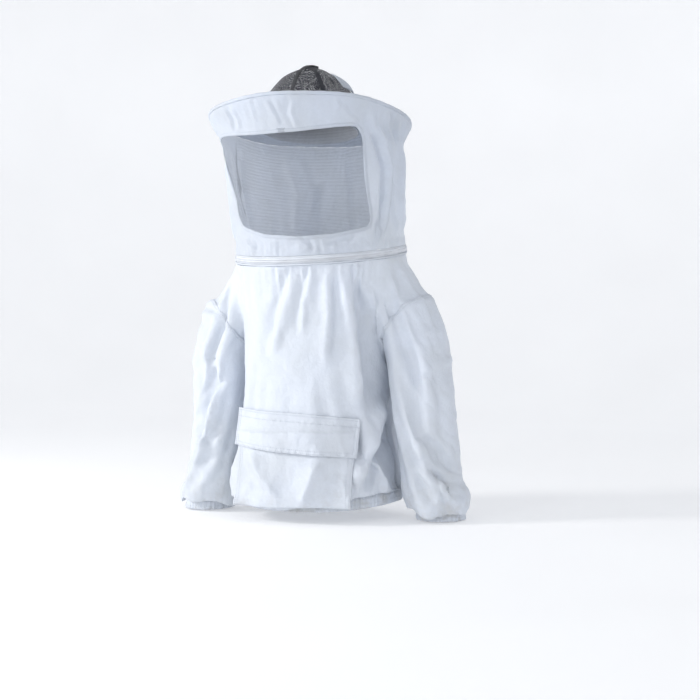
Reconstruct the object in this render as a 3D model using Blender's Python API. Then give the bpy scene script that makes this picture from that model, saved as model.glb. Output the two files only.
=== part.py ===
"""A pull-on beekeeping smock with a round zip-on hood, shaped as it hangs on its wearer.

Metres, +Z up, the front faces -Y and +X is the wearer's left. The origin lies between the
wearer's shoulders, at the middle of the neck zip's height. Angles round the body are measured
from the front, positive towards +X.
"""

import math

import bmesh
import bpy
from mathutils import Matrix, Vector

# --- driving dimensions --------------------------------------------------------------------
CLOTH = 0.0025          # wall of every fabric panel
GAP = 0.0004            # between neighbouring pieces
LIE = 0.0012            # between the curved jacket front and what lies on it
NET = 0.0015            # wall of the netting panels
WELD = 0.00005          # points nearer than this after a cut are one point

NECK_R = 0.153          # neck zip ring
NECK_Z = 0.005
NECK_TILT = math.radians(-9.5)      # the ring dips to the front
BRIM_R = 0.180
BRIM_Y = -0.050         # the hat sits forward of the neck
BRIM_Z = 0.232
BRIM_TILT = math.radians(5.0)       # the brim rises to the front
CROWN_R = 0.088
CROWN_H = 0.096

HEM_Z = -0.446
CUFF_Z = -0.462
ARM_X = 0.224           # middle of the forearm
FLAP_Z = -0.283         # hinge line of the pocket flap
FLAP_DROP = 0.066
POUCH_HALF = 0.108      # half width of the pocket pouch
FLAP_HALF = 0.114
POUCH_DEPTH = 0.012     # free space inside the pouch
WINDOW_HALF = math.radians(58.0)    # half angle of the face window
ZIP_HALF = math.radians(150.0)      # the zip runs this far each side of the front

SEGMENTS = 40           # round the hood
BODY_SEGMENTS = 40      # round the jacket
ARM_SEGMENTS = 20


# --- small tools ---------------------------------------------------------------------------
def clear_scene():
    for old in list(bpy.data.objects):
        bpy.data.objects.remove(old, do_unlink=True)


MATERIALS = {}


def material(name, colour, roughness, metallic=0.0, alpha=1.0):
    made = bpy.data.materials.new(name)
    made.use_nodes = True
    shader = made.node_tree.nodes["Principled BSDF"]
    shader.inputs["Base Color"].default_value = (*colour, 1.0)
    shader.inputs["Roughness"].default_value = roughness
    shader.inputs["Metallic"].default_value = metallic
    shader.inputs["Alpha"].default_value = alpha
    MATERIALS[name] = made


def make_materials():
    material("cotton", (0.78, 0.80, 0.86), 0.85)
    material("netting", (0.03, 0.03, 0.04), 0.60)
    material("steel", (0.62, 0.63, 0.65), 0.30, metallic=1.0)
    material("foam", (0.85, 0.85, 0.83), 0.95)
    material("elastic", (0.82, 0.82, 0.80), 0.80)
    material("nylon", (0.80, 0.81, 0.84), 0.45)
    material("tape", (0.76, 0.78, 0.84), 0.75)


def new_object(name, points, faces, material_name=None):
    mesh = bpy.data.meshes.new(name)
    mesh.from_pydata([tuple(p) for p in points], [], faces)
    mesh.validate()
    made = bpy.data.objects.new(name, mesh)
    bpy.context.scene.collection.objects.link(made)
    outward(made)
    if material_name:
        made.data.materials.append(MATERIALS[material_name])
        made.data.shade_smooth()
        made.data.set_sharp_from_angle(angle=math.radians(35))
    return made


def outward(obj):
    """Turns every face outwards."""
    work = bmesh.new()
    work.from_mesh(obj.data)
    bmesh.ops.recalc_face_normals(work, faces=work.faces)
    work.to_mesh(obj.data)
    work.free()


def loft(name, rings, material_name=None):
    """A closed solid through rings of equal point counts, with its two ends capped."""
    count = len(rings[0])
    points = [p for ring in rings for p in ring]
    faces = [tuple(range(count)), tuple(len(points) - count + i for i in range(count))]
    for k in range(len(rings) - 1):
        for i in range(count):
            j = (i + 1) % count
            faces.append((k * count + i, k * count + j, (k + 1) * count + j, (k + 1) * count + i))
    return new_object(name, points, faces, material_name)


def slab(name, outer, inner, material_name, wrap=False):
    """A closed sheet between two grids of points; with wrap its columns close into a ring."""
    rows, columns = len(outer), len(outer[0])
    points = [p for row in outer for p in row] + [p for row in inner for p in row]
    depth = rows * columns
    faces = []
    steps = columns if wrap else columns - 1
    for k in range(rows - 1):
        for i in range(steps):
            j = (i + 1) % columns
            a, b, c, d = k * columns + i, k * columns + j, (k + 1) * columns + j, (k + 1) * columns + i
            faces.append((a, b, c, d))
            faces.append((a + depth, d + depth, c + depth, b + depth))
    for i in range(steps):
        j = (i + 1) % columns
        last = (rows - 1) * columns
        faces.append((i, i + depth, j + depth, j))
        faces.append((last + i, last + j, last + j + depth, last + i + depth))
    if not wrap:
        for k in range(rows - 1):
            a, d = k * columns, (k + 1) * columns
            faces.append((a, d, d + depth, a + depth))
            faces.append((a + columns - 1, a + columns - 1 + depth, d + columns - 1 + depth, d + columns - 1))
    return new_object(name, points, faces, material_name)


def weld(obj):
    """Joins the near-double points a cut leaves behind."""
    work = bmesh.new()
    work.from_mesh(obj.data)
    bmesh.ops.remove_doubles(work, verts=work.verts, dist=WELD)
    bmesh.ops.dissolve_degenerate(work, edges=work.edges, dist=WELD)
    work.to_mesh(obj.data)
    work.free()


def combined(name, target, other, operation, material_name=None):
    """A new object: target joined with, cut by or kept inside other."""
    made = bpy.data.objects.new(name, target.data.copy())
    bpy.context.scene.collection.objects.link(made)
    cut = made.modifiers.new("cut", "BOOLEAN")
    cut.operation = operation
    cut.solver = "EXACT"
    cut.object = other
    bpy.context.view_layer.update()
    graph = bpy.context.evaluated_depsgraph_get()
    result = bpy.data.meshes.new_from_object(made.evaluated_get(graph))
    made.modifiers.clear()
    made.data = result
    made.data.name = name
    weld(made)
    made.data.materials.clear()
    if material_name:
        made.data.materials.append(MATERIALS[material_name])
        made.data.shade_smooth()
        made.data.set_sharp_from_angle(angle=math.radians(35))
    return made


def discard(*objects):
    for obj in objects:
        bpy.data.objects.remove(obj, do_unlink=True)


def block(name, low, high, material_name=None):
    """A box between two corners."""
    points = [(x, y, z) for x in (low[0], high[0]) for y in (low[1], high[1]) for z in (low[2], high[2])]
    faces = [(0, 1, 3, 2), (4, 6, 7, 5), (0, 4, 5, 1), (2, 3, 7, 6), (0, 2, 6, 4), (1, 5, 7, 3)]
    return new_object(name, points, faces, material_name)


def round_power(value, power):
    return math.copysign(abs(value) ** power, value)


def blend(low, high, share):
    return low + (high - low) * share


def stations_at(stations, z):
    """Interpolates a table of (z, value, value...) rows, which runs upwards in z."""
    for low, high in zip(stations, stations[1:]):
        if z <= high[0]:
            share = (z - low[0]) / (high[0] - low[0])
            share = min(max(share, 0.0), 1.0)
            return [blend(a, b, share) for a, b in zip(low[1:], high[1:])]
    return list(stations[-1][1:])


# --- the jacket's body ---------------------------------------------------------------------
SQUARENESS = 2.5        # exponent of the body's rounded cross-section
# height, half width, half depth: from the hem's elastic up over the blouse to the shoulders
BODY = [
    (-0.4240, 0.1440, 0.1260),
    (-0.4160, 0.1500, 0.1360),
    (-0.3900, 0.1530, 0.1390),
    (-0.3500, 0.1510, 0.1380),
    (-0.2900, 0.1450, 0.1340),
    (-0.2000, 0.1430, 0.1330),
    (-0.1300, 0.1480, 0.1350),
    (-0.0750, 0.1600, 0.1400),
    (-0.0400, 0.1660, 0.1430),
]


def oval(z, half_width, half_depth, count=BODY_SEGMENTS):
    ring = []
    for i in range(count):
        turn = 2 * math.pi * (i + 0.5) / count
        x = half_width * round_power(math.sin(turn), 2 / SQUARENESS)
        y = -half_depth * round_power(math.cos(turn), 2 / SQUARENESS)
        ring.append(Vector((x, y, z)))
    return ring


def neck_point(radius, turn, lift=0.0):
    """A point of the tilted neck ring; lift is measured along the ring's axis."""
    local = Vector((radius * math.sin(turn), -radius * math.cos(turn), lift))
    return NECK_FRAME @ local


NECK_FRAME = Matrix.Translation((0, 0, NECK_Z)) @ Matrix.Rotation(-NECK_TILT, 4, "X")
BRIM_FRAME = Matrix.Translation((0, BRIM_Y, BRIM_Z)) @ Matrix.Rotation(-BRIM_TILT, 4, "X")
JACKET_TOP = -0.0085    # the jacket ends this far below the ring's plane, along its axis


def neck_ring(radius, lift, count=BODY_SEGMENTS):
    return [neck_point(radius, 2 * math.pi * (i + 0.5) / count, lift) for i in range(count)]


def body_solid(name, inset, overrun):
    """The jacket's body as a solid; an inset one that overruns both ends hollows it out."""
    rings = [oval(z, a - inset, b - inset) for z, a, b in BODY]
    if overrun:
        first = BODY[0]
        rings.insert(0, oval(first[0] - overrun, first[1] - inset, first[2] - inset))
    rings.append(neck_ring(NECK_R - inset, JACKET_TOP))
    if overrun:
        rings.append(neck_ring(NECK_R - inset, JACKET_TOP + overrun))
    return loft(name, rings)


# --- the sleeves ---------------------------------------------------------------------------
# centre x, centre z, tilt of the ring's normal from -Z towards +X in degrees, half across, half depth
ARM = [
    (0.098, -0.050, 78, 0.046, 0.066),
    (0.143, -0.070, 66, 0.054, 0.074),
    (0.171, -0.112, 50, 0.057, 0.076),
    (0.194, -0.180, 20, 0.053, 0.073),
    (0.207, -0.260, 10, 0.052, 0.069),
    (0.218, -0.340, 6, 0.055, 0.069),
    (ARM_X, -0.400, 3, 0.058, 0.070),
    (ARM_X + 0.001, -0.430, 0, 0.055, 0.064),
    (ARM_X + 0.001, -0.4435, 0, 0.042, 0.046),
]
SHOULDER_RINGS = 3      # the first rings belong to the jacket, up to the dropped armhole seam


def arm_ring(station, side, inset=0.0, shift=0.0):
    """One ring of the sleeve; shift moves it along its own normal."""
    x, z, degrees, across, depth = station
    tilt = math.radians(degrees)
    normal = Vector((math.sin(tilt), 0, -math.cos(tilt)))
    along = Vector((math.cos(tilt), 0, math.sin(tilt)))
    centre = Vector((x, 0, z)) + normal * shift
    ring = []
    for i in range(ARM_SEGMENTS):
        turn = 2 * math.pi * (i + 0.5) / ARM_SEGMENTS
        p = centre + along * (across - inset) * math.cos(turn)
        p.y += (depth - inset) * math.sin(turn)
        ring.append(Vector((side * p.x, p.y, p.z)))
    return ring


def armhole_pivot():
    """The outer top of the armhole seam, where the sleeve swings from."""
    x, z, degrees, across, _ = ARM[SHOULDER_RINGS - 1]
    tilt = math.radians(degrees)
    return Vector((x + across * math.cos(tilt) + GAP * math.sin(tilt), 0,
                   z + across * math.sin(tilt) - GAP * math.cos(tilt)))


def shoulder_solid(side, inset, overrun):
    rings = [arm_ring(s, side, inset) for s in ARM[:SHOULDER_RINGS]]
    if overrun:
        rings.append(arm_ring(ARM[SHOULDER_RINGS - 1], side, inset, overrun))
    return loft("shoulder", rings)


def sleeve_solid(side, inset, overrun):
    seam = ARM[SHOULDER_RINGS - 1]
    rings = [arm_ring(seam, side, inset, 2 * GAP - overrun)]
    rings += [arm_ring(s, side, inset) for s in ARM[SHOULDER_RINGS:]]
    if overrun:
        rings.append(arm_ring(ARM[-1], side, inset, overrun))
    return loft("sleeve", rings)


def make_jacket_body():
    """Front and back panels: one hollow shell with two dropped armholes, parted at the side seams."""
    outer = body_solid("outer", 0.0, 0.0)
    inner = body_solid("inner", CLOTH, 0.02)
    for side in (1, -1):
        cap = shoulder_solid(side, 0.0, 0.0)
        hollow = shoulder_solid(side, CLOTH, 0.012)
        wider_outer = combined("outer", outer, cap, "UNION")
        wider_inner = combined("inner", inner, hollow, "UNION")
        discard(outer, inner, cap, hollow)
        outer, inner = wider_outer, wider_inner
    shell = combined("shell", outer, inner, "DIFFERENCE")
    reach = 0.6
    front_half = block("front_half", (-reach, -reach, -reach), (reach, -GAP / 2, reach))
    back_half = block("back_half", (-reach, GAP / 2, -reach), (reach, reach, reach))
    combined("front_body", shell, front_half, "INTERSECT", "cotton")
    combined("back_body", shell, back_half, "INTERSECT", "cotton")
    discard(outer, inner, shell, front_half, back_half)


def make_sleeve(side, name):
    outer = sleeve_solid(side, 0.0, 0.0)
    inner = sleeve_solid(side, CLOTH, 0.02)
    tube = combined("tube", outer, inner, "DIFFERENCE")
    keep_off = body_solid("keep_off", -0.0015, 0.0)
    combined(name, tube, keep_off, "DIFFERENCE", "cotton")
    discard(outer, inner, tube, keep_off)


def band(name, ring_at, radius_steps, material_name, count):
    """A closed ring band: ring_at(offset, z) gives its rings, radius_steps the (offset, z) corners."""
    rings = [ring_at(offset, z) for offset, z in radius_steps]
    points = [p for ring in rings for p in ring]
    faces = []
    for k in range(len(rings)):
        following = (k + 1) % len(rings)
        for i in range(count):
            j = (i + 1) % count
            faces.append((k * count + i, k * count + j, following * count + j, following * count + i))
    return new_object(name, points, faces, material_name)


def hem_ring(offset, z):
    return oval(z, BODY[0][1] + offset, BODY[0][2] + offset)


def make_hem():
    """The turned-up casing of the hem and the elastic inside it."""
    top = BODY[0][0] - GAP
    band("hem_casing", hem_ring,
         [(0, HEM_Z), (0, top), (-CLOTH, top), (-CLOTH, HEM_Z)], "cotton", BODY_SEGMENTS)
    inner = -CLOTH - GAP
    band("hem_elastic", hem_ring,
         [(inner, HEM_Z + 0.003), (inner, top - 0.003),
          (inner - 0.0015, top - 0.003), (inner - 0.0015, HEM_Z + 0.003)], "elastic", BODY_SEGMENTS)


def make_cuff(side, suffix):
    def cuff_ring(offset, z):
        station = (ARM[-1][0], z, 0, ARM[-1][3] + offset, ARM[-1][4] + offset)
        return arm_ring(station, side)

    top = ARM[-1][1] - GAP
    band("cuff_casing_" + suffix, cuff_ring,
         [(0, CUFF_Z), (0, top), (-CLOTH, top), (-CLOTH, CUFF_Z)], "cotton", ARM_SEGMENTS)
    inner = -CLOTH - GAP
    band("cuff_elastic_" + suffix, cuff_ring,
         [(inner, CUFF_Z + 0.003), (inner, top - 0.002),
          (inner - 0.0015, top - 0.002), (inner - 0.0015, CUFF_Z + 0.003)], "elastic", ARM_SEGMENTS)


# --- the front pocket ----------------------------------------------------------------------
POUCH_TOP = FLAP_Z - 0.026
POUCH_BOTTOM = -0.410
FRONT_Y = -0.139        # the jacket's foremost point behind the pouch
FLAP_Y = FRONT_Y - POUCH_DEPTH - CLOTH - 0.0045
FLAP_TOP_Y = FRONT_Y - 0.004        # the flap hangs close to the jacket and slopes out over the pouch
STRIP = 0.0014          # thickness of the hook and loop strips
STRIP_HALF = 0.085      # their half length
BOW = 0.75              # how much of the body's curve the flap and the pouch's front follow


def front_y(x, z):
    """The jacket's front surface."""
    half_width, half_depth = stations_at(BODY, z)
    share = min(abs(x) / half_width, 0.999)
    return -half_depth * (1 - share ** SQUARENESS) ** (1 / SQUARENESS)


def bow(x):
    """How far a pocket sheet falls back at x from its middle."""
    return BOW * (front_y(x, -0.35) - front_y(0, -0.35))


def make_pouch():
    """The pouch: a front wall with side and bottom walls that meet the jacket, open at the top."""
    columns = 17
    xs = [blend(-POUCH_HALF, POUCH_HALF, i / (columns - 1)) for i in range(columns)]
    face = FRONT_Y - POUCH_DEPTH
    zs = [POUCH_TOP, -0.33, -0.35, -0.39, POUCH_BOTTOM]
    outer = [[Vector((x, face - CLOTH + bow(x), z)) for x in xs] for z in zs]
    back = [[Vector((x, front_y(x, z) - LIE, z)) for x in xs] for z in zs]
    whole = slab("whole", outer, back, None)
    low, high = -POUCH_HALF + CLOTH, POUCH_HALF - CLOTH
    inside_x = [blend(low, high, i / (columns - 1)) for i in range(columns)]
    heights = [POUCH_TOP + 0.01, POUCH_BOTTOM + CLOTH]
    hollow_front = [[Vector((x, face + bow(x), z)) for x in inside_x] for z in heights]
    hollow_back = [[Vector((x, FRONT_Y + 0.06, z)) for x in inside_x] for z in heights]
    hollow = slab("hollow", hollow_front, hollow_back, None)
    combined("pouch_pocket", whole, hollow, "DIFFERENCE", "cotton")
    discard(whole, hollow)


def pocket_sheet(name, half, profile, thickness, material_name, columns=13):
    """A bowed sheet; profile lists the (y, z) of its back from top to bottom."""
    xs = [blend(-half, half, i / (columns - 1)) for i in range(columns)]
    outer = [[Vector((x, y - thickness + bow(x), z)) for x in xs] for y, z in profile]
    inner = [[Vector((x, y + bow(x), z)) for x in xs] for y, z in profile]
    return slab(name, outer, inner, material_name)


def make_flap():
    """The flap with its hook strip, the loop strip it meets and the sewn band it hangs from."""
    pocket_sheet("pocket_flap", FLAP_HALF,
                 [(FLAP_TOP_Y, FLAP_Z - 0.001), (FLAP_Y, FLAP_Z - 0.014), (FLAP_Y, FLAP_Z - FLAP_DROP)],
                 CLOTH, "cotton")
    top = FLAP_Z - FLAP_DROP + 0.026
    bottom = top - 0.018
    hook_y = FLAP_Y + GAP + STRIP
    pocket_sheet("flap_hook_strip", STRIP_HALF, [(hook_y, top), (hook_y, bottom)], STRIP, "nylon")
    loop_y = FRONT_Y - POUCH_DEPTH - CLOTH - GAP
    pocket_sheet("pocket_loop_strip", STRIP_HALF, [(loop_y, top), (loop_y, bottom)], STRIP, "nylon")
    band_y = front_y(0, FLAP_Z + 0.010) - LIE
    pocket_sheet("flap_seam_band", FLAP_HALF, [(band_y, FLAP_Z + 0.010), (FLAP_TOP_Y, FLAP_Z + 0.001)],
                 CLOTH, "cotton")


# --- the hood ------------------------------------------------------------------------------
# share of the way down from brim to neck, radius
VEIL = [(0.0, 0.1765), (0.05, 0.1710), (0.11, 0.1625), (0.20, 0.1575), (0.48, 0.1510),
        (0.75, 0.1490), (1.0, 0.1525)]
WINDOW_TOP = 0.200      # shares of the same way
WINDOW_BOTTOM = 0.880


def veil_point(turn, share, inset=0.0):
    """A point of the veil: share runs from the brim's edge at 0 to the neck ring at 1."""
    radius = stations_at([(t, r) for t, r in VEIL], share)[0] - inset
    tilt = blend(BRIM_TILT, NECK_TILT, share)
    top = Vector((0, BRIM_Y, BRIM_Z - 0.0035))
    bottom = Vector((0, 0, NECK_Z)) + NECK_FRAME.to_3x3() @ Vector((0, 0, 0.0085))
    centre = top.lerp(bottom, share)
    x = radius * math.sin(turn)
    y = -radius * math.cos(turn) * math.cos(tilt)
    z = radius * math.cos(turn) * math.sin(tilt)
    return centre + Vector((x, y, z))


def veil_panel(name, turns, shares, wall, material_name, wrap=False, trim=0.0):
    """A panel of the veil between two turns and two shares, trimmed a little all round."""
    start, end = turns
    slack = GAP / NECK_R
    rows = max(2, math.ceil((shares[1] - shares[0]) / 0.12) + 1)
    columns = max(3, round(abs(end - start) / (2 * math.pi) * SEGMENTS) + 1)
    if wrap:
        columns -= 1
    outer, inner = [], []
    for k in range(rows):
        share = blend(shares[0] + trim, shares[1] - trim, k / (rows - 1))
        row_out, row_in = [], []
        for i in range(columns):
            if wrap:
                turn = blend(start, end, i / columns)
            else:
                turn = blend(start + slack, end - slack, i / (columns - 1))
            row_out.append(veil_point(turn, share))
            row_in.append(veil_point(turn, share, wall))
        outer.append(row_out)
        inner.append(row_in)
    return slab(name, outer, inner, material_name, wrap)


def make_veil():
    """Top band, face window, side and back panels, and the lower band down to the zip."""
    full = (-math.pi, math.pi)
    veil_panel("veil_top_band", full, (0.012, WINDOW_TOP), CLOTH, "cotton", wrap=True, trim=0.0012)
    veil_panel("veil_lower_band", full, (WINDOW_BOTTOM, 1.0), CLOTH, "cotton", wrap=True, trim=0.0012)
    middle = (WINDOW_TOP, WINDOW_BOTTOM)
    back = math.radians(145)
    veil_panel("face_mesh", (-WINDOW_HALF, WINDOW_HALF), middle, NET, "netting", trim=0.0012)
    veil_panel("side_panel_left", (WINDOW_HALF, back), middle, CLOTH, "cotton", trim=0.0012)
    veil_panel("side_panel_right", (-back, -WINDOW_HALF), middle, CLOTH, "cotton", trim=0.0012)
    veil_panel("back_panel", (back, 2 * math.pi - back), middle, CLOTH, "cotton", trim=0.0012)


def turned_ring(name, frame, profile, material_name, count=SEGMENTS):
    """A ring with the given (radius, height) outline, turned about the frame's axis."""
    points, faces = [], []
    for i in range(count):
        turn = 2 * math.pi * i / count
        for radius, height in profile:
            points.append(frame @ Vector((radius * math.sin(turn), -radius * math.cos(turn), height)))
    size = len(profile)
    for i in range(count):
        j = (i + 1) % count
        for k in range(size):
            following = (k + 1) % size
            faces.append((i * size + k, j * size + k, j * size + following, i * size + following))
    return new_object(name, points, faces, material_name)


def turned_arc(name, frame, profile, turns, material_name, count=40):
    """Part of such a ring, with capped ends."""
    rings = []
    for i in range(count + 1):
        turn = blend(turns[0], turns[1], i / count)
        rings.append([frame @ Vector((r * math.sin(turn), -r * math.cos(turn), h)) for r, h in profile])
    return loft(name, rings, material_name)


def rectangle(r_low, r_high, z_low, z_high):
    return [(r_low, z_low), (r_high, z_low), (r_high, z_high), (r_low, z_high)]


def disc_profile(r_low, r_high, lift, wall, droop=0.006):
    """A flat ring that droops evenly towards its edge."""
    return [(r_low, lift + droop), (r_high, lift), (r_high, lift + wall), (r_low, lift + wall + droop)]


def make_brim():
    """Two cloth rings with a foam ring between them, a steel hoop and its edge binding."""
    inside, outside = CROWN_R + 0.0035, BRIM_R - 0.0060
    turned_ring("brim_upper_panel", BRIM_FRAME, disc_profile(inside, outside, 0.0016, 0.0012), "cotton")
    turned_ring("brim_stiffener", BRIM_FRAME, disc_profile(inside + 0.004, outside - 0.002, -0.0008, 0.0020), "foam")
    turned_ring("brim_lower_panel", BRIM_FRAME, disc_profile(inside, outside, -0.0024, 0.0012), "cotton")
    hoop_r = BRIM_R - 0.0032
    hoop = [(hoop_r + 0.0012 * math.cos(a), 0.0002 + 0.0012 * math.sin(a))
            for a in (2 * math.pi * i / 6 for i in range(6))]
    turned_ring("brim_hoop", BRIM_FRAME, hoop, "steel")
    edge_in, edge_out, wall, high = outside + GAP, BRIM_R, 0.0008, 0.0028
    channel = [(edge_in, -high), (edge_out - 0.0008, -high), (edge_out, -high + 0.0008),
               (edge_out, high - 0.0008), (edge_out - 0.0008, high), (edge_in, high),
               (edge_in, high - wall), (edge_out - wall, high - wall),
               (edge_out - wall, -high + wall), (edge_in, -high + wall)]
    turned_ring("brim_edge_binding", BRIM_FRAME, channel, "cotton")


# share of the crown's height, share of its radius
CROWN = [(0.0, 1.0), (0.2, 0.985), (0.42, 0.90), (0.62, 0.745), (0.80, 0.52), (0.93, 0.27), (0.985, 0.10)]


def crown_point(turn, share, inset=0.0):
    size = stations_at(CROWN, share)[0] * CROWN_R - inset
    height = 0.0095 + share * (CROWN_H - 0.0095) - inset * share
    return BRIM_FRAME @ Vector((size * math.sin(turn), -size * math.cos(turn), height))


def make_crown():
    """Two netting halves, the tape over their seam, the cap patch, the bands at the base and a tab."""
    columns = 13
    slack = math.radians(1.2)
    for name, start in (("crown_mesh_left", 0.0), ("crown_mesh_right", math.pi)):
        turns = [blend(start + slack, start + math.pi - slack, i / (columns - 1)) for i in range(columns)]
        shares = [share for share, _ in CROWN]
        outer = [[crown_point(turn, share) for turn in turns] for share in shares]
        inner = [[crown_point(turn, share, NET) for turn in turns] for share in shares]
        slab(name, outer, inner, "netting")
    turned_ring("hat_band", BRIM_FRAME, rectangle(CROWN_R - 0.0012, CROWN_R + 0.0028, -0.004, 0.0090), "cotton")
    turned_ring("sweatband", BRIM_FRAME, rectangle(CROWN_R - 0.0032, CROWN_R - 0.0016, -0.022, 0.0060), "elastic")
    top = CROWN_H + 0.0006
    disc = [BRIM_FRAME @ Vector((0.011 * math.sin(a), -0.011 * math.cos(a), top))
            for a in (2 * math.pi * i / 16 for i in range(16))]
    lower = [p - BRIM_FRAME.to_3x3() @ Vector((0, 0, 0.0010)) for p in disc]
    loft("crown_cap_patch", [lower, disc], "netting")
    make_crown_tape()
    make_crown_tab()


def make_crown_tape():
    """A narrow tape over the seam between the two halves, from front to back."""
    half = 0.0035
    shares = [share for share, _ in CROWN][:-1]
    for name, turn in (("crown_tape_front", 0.0), ("crown_tape_back", math.pi)):
        across = BRIM_FRAME.to_3x3() @ Vector((math.cos(turn), math.sin(turn), 0))
        outer, inner = [], []
        for share in shares:
            middle = crown_point(turn, share, -0.0015)
            under = crown_point(turn, share, -GAP)
            outer.append([middle - across * half, middle + across * half])
            inner.append([under - across * half, under + across * half])
        slab(name, outer, inner, "netting")


TAB_HALF = 0.013


def make_crown_tab():
    """A small folded cloth tab sewn to the crown's left side."""
    turn = math.radians(86)
    across = BRIM_FRAME.to_3x3() @ Vector((math.cos(turn), math.sin(turn), 0))
    outer, inner = [], []
    for share in (0.44, 0.55, 0.66, 0.76):
        top = crown_point(turn, share, -0.0050)
        under = crown_point(turn, share, -0.0030)
        outer.append([top - across * TAB_HALF, top + across * TAB_HALF])
        inner.append([under - across * TAB_HALF, under + across * TAB_HALF])
    slab("crown_tab", outer, inner, "cotton")


# --- the neck zip --------------------------------------------------------------------------
SLIDER_TURN = math.radians(144)     # where the slider stands with the zip closed
SLIDER_GAP = 0.0014                 # the slider's back clears the coil by this
SLIDER_DEPTH = 0.0030
SLIDER_HALF = 0.0055 / NECK_R       # half its length as an angle
PULL_DEPTH = 0.0014
PULL_LENGTH = 0.026
PULL_TURN = SLIDER_TURN - SLIDER_HALF * 0.2
PULL_R = NECK_R + 0.0016 + SLIDER_GAP + SLIDER_DEPTH + GAP + PULL_DEPTH / 2     # the middle of its thickness


def make_zip():
    """Two tapes with their coils, the end stops, the piping, and the slider with its pull."""
    turns = (-ZIP_HALF, ZIP_HALF)
    tape_in, tape_out = NECK_R - 0.0025, NECK_R - 0.0005
    turned_ring("zip_tape_upper", NECK_FRAME, rectangle(tape_in, tape_out, 0.0004, 0.0078), "tape")
    turned_ring("zip_tape_lower", NECK_FRAME, rectangle(tape_in, tape_out, -0.0078, -0.0004), "tape")
    coil_in, coil_out = tape_out + GAP, NECK_R + 0.0016
    turned_arc("zip_coil_upper", NECK_FRAME, rectangle(coil_in, coil_out, 0.0003, 0.0026), turns, "nylon")
    turned_arc("zip_coil_lower", NECK_FRAME, rectangle(coil_in, coil_out, -0.0026, -0.0003), turns, "nylon")
    piping_r = NECK_R + 0.0008
    piping = [(piping_r + 0.0012 * math.cos(a), -0.0062 + 0.0012 * math.sin(a))
              for a in (2 * math.pi * i / 6 for i in range(6))]
    turned_ring("neck_piping", NECK_FRAME, piping, "cotton")
    for name, turn in (("zip_stop_left", ZIP_HALF), ("zip_stop_right", -ZIP_HALF)):
        side = math.copysign(1, turn)
        edges = sorted((turn + side * math.radians(0.4), turn + side * math.radians(1.6)))
        turned_arc(name, NECK_FRAME, rectangle(coil_in, coil_out, -0.0028, -0.0003), edges, "nylon", 2)
    back = coil_out + SLIDER_GAP
    face = back + SLIDER_DEPTH
    turned_arc("zip_slider", NECK_FRAME,
               [(back, -0.0042), (back + 0.0022, -0.0042), (face, -0.0030), (face, 0.0030),
                (back + 0.0022, 0.0042), (back, 0.0042)],
               (SLIDER_TURN - SLIDER_HALF, SLIDER_TURN + SLIDER_HALF), "steel", 4)
    turned_arc("zip_pull", NECK_FRAME,
               rectangle(PULL_R - PULL_DEPTH / 2, PULL_R + PULL_DEPTH / 2, -0.0024, 0.0024),
               (PULL_TURN - PULL_LENGTH / NECK_R, PULL_TURN), "steel", 6)


# --- joint axes ----------------------------------------------------------------------------
HOOD_HINGE_OUT = 0.0022     # the hood's hinge line touches the back of the neck ring
FLAP_AXIS_Y = -0.146        # the flap's hinge line lies in its top edge
HOOD_PIECES = ("veil_top_band", "veil_lower_band", "face_mesh", "side_panel_left", "side_panel_right",
               "back_panel", "zip_tape_upper", "zip_coil_upper", "brim_upper_panel", "brim_lower_panel",
               "brim_stiffener", "brim_hoop", "brim_edge_binding", "hat_band", "sweatband",
               "crown_mesh_left", "crown_mesh_right", "crown_cap_patch", "crown_tape_front",
               "crown_tape_back", "crown_tab")


def place_origins():
    """Puts the origin of each moving piece on its joint's axis."""
    shoulder = armhole_pivot()
    moving = [(neck_point(NECK_R + HOOD_HINGE_OUT, math.pi), HOOD_PIECES),
              (neck_point(0.0, 0.0), ("zip_slider",)),
              (neck_point(PULL_R, PULL_TURN), ("zip_pull",)),
              (Vector((0, FLAP_AXIS_Y, FLAP_Z)), ("pocket_flap", "flap_hook_strip"))]
    for side, suffix in ((1, "left"), (-1, "right")):
        names = ("sleeve_" + suffix, "cuff_casing_" + suffix, "cuff_elastic_" + suffix)
        moving.append((Vector((side * shoulder.x, 0, shoulder.z)), names))
    for point, names in moving:
        for name in names:
            obj = bpy.data.objects[name]
            obj.data.transform(Matrix.Translation(-point))
            obj.location = point


# --- the whole object ----------------------------------------------------------------------
def main():
    clear_scene()
    make_materials()
    make_jacket_body()
    make_hem()
    for side, suffix in ((1, "left"), (-1, "right")):
        make_sleeve(side, "sleeve_" + suffix)
        make_cuff(side, suffix)
    make_pouch()
    make_flap()
    make_veil()
    make_brim()
    make_crown()
    make_zip()
    place_origins()


main()
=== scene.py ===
"""Looks of the beekeeping smock: simulated cotton, netting, brim, zip, stitching, floor and light.

Metres, +Z up, the front faces -Y and +X is the wearer's left, as in the CAD frame. A turn is an
angle round the body from the front, positive towards +X. The folds of the smock are listed as
they look from the front left, where `across` runs to the viewer's right.
"""

import math

import bmesh
import bpy
import numpy as np
from mathutils import Matrix, Vector, noise
from mathutils.bvhtree import BVHTree


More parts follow.
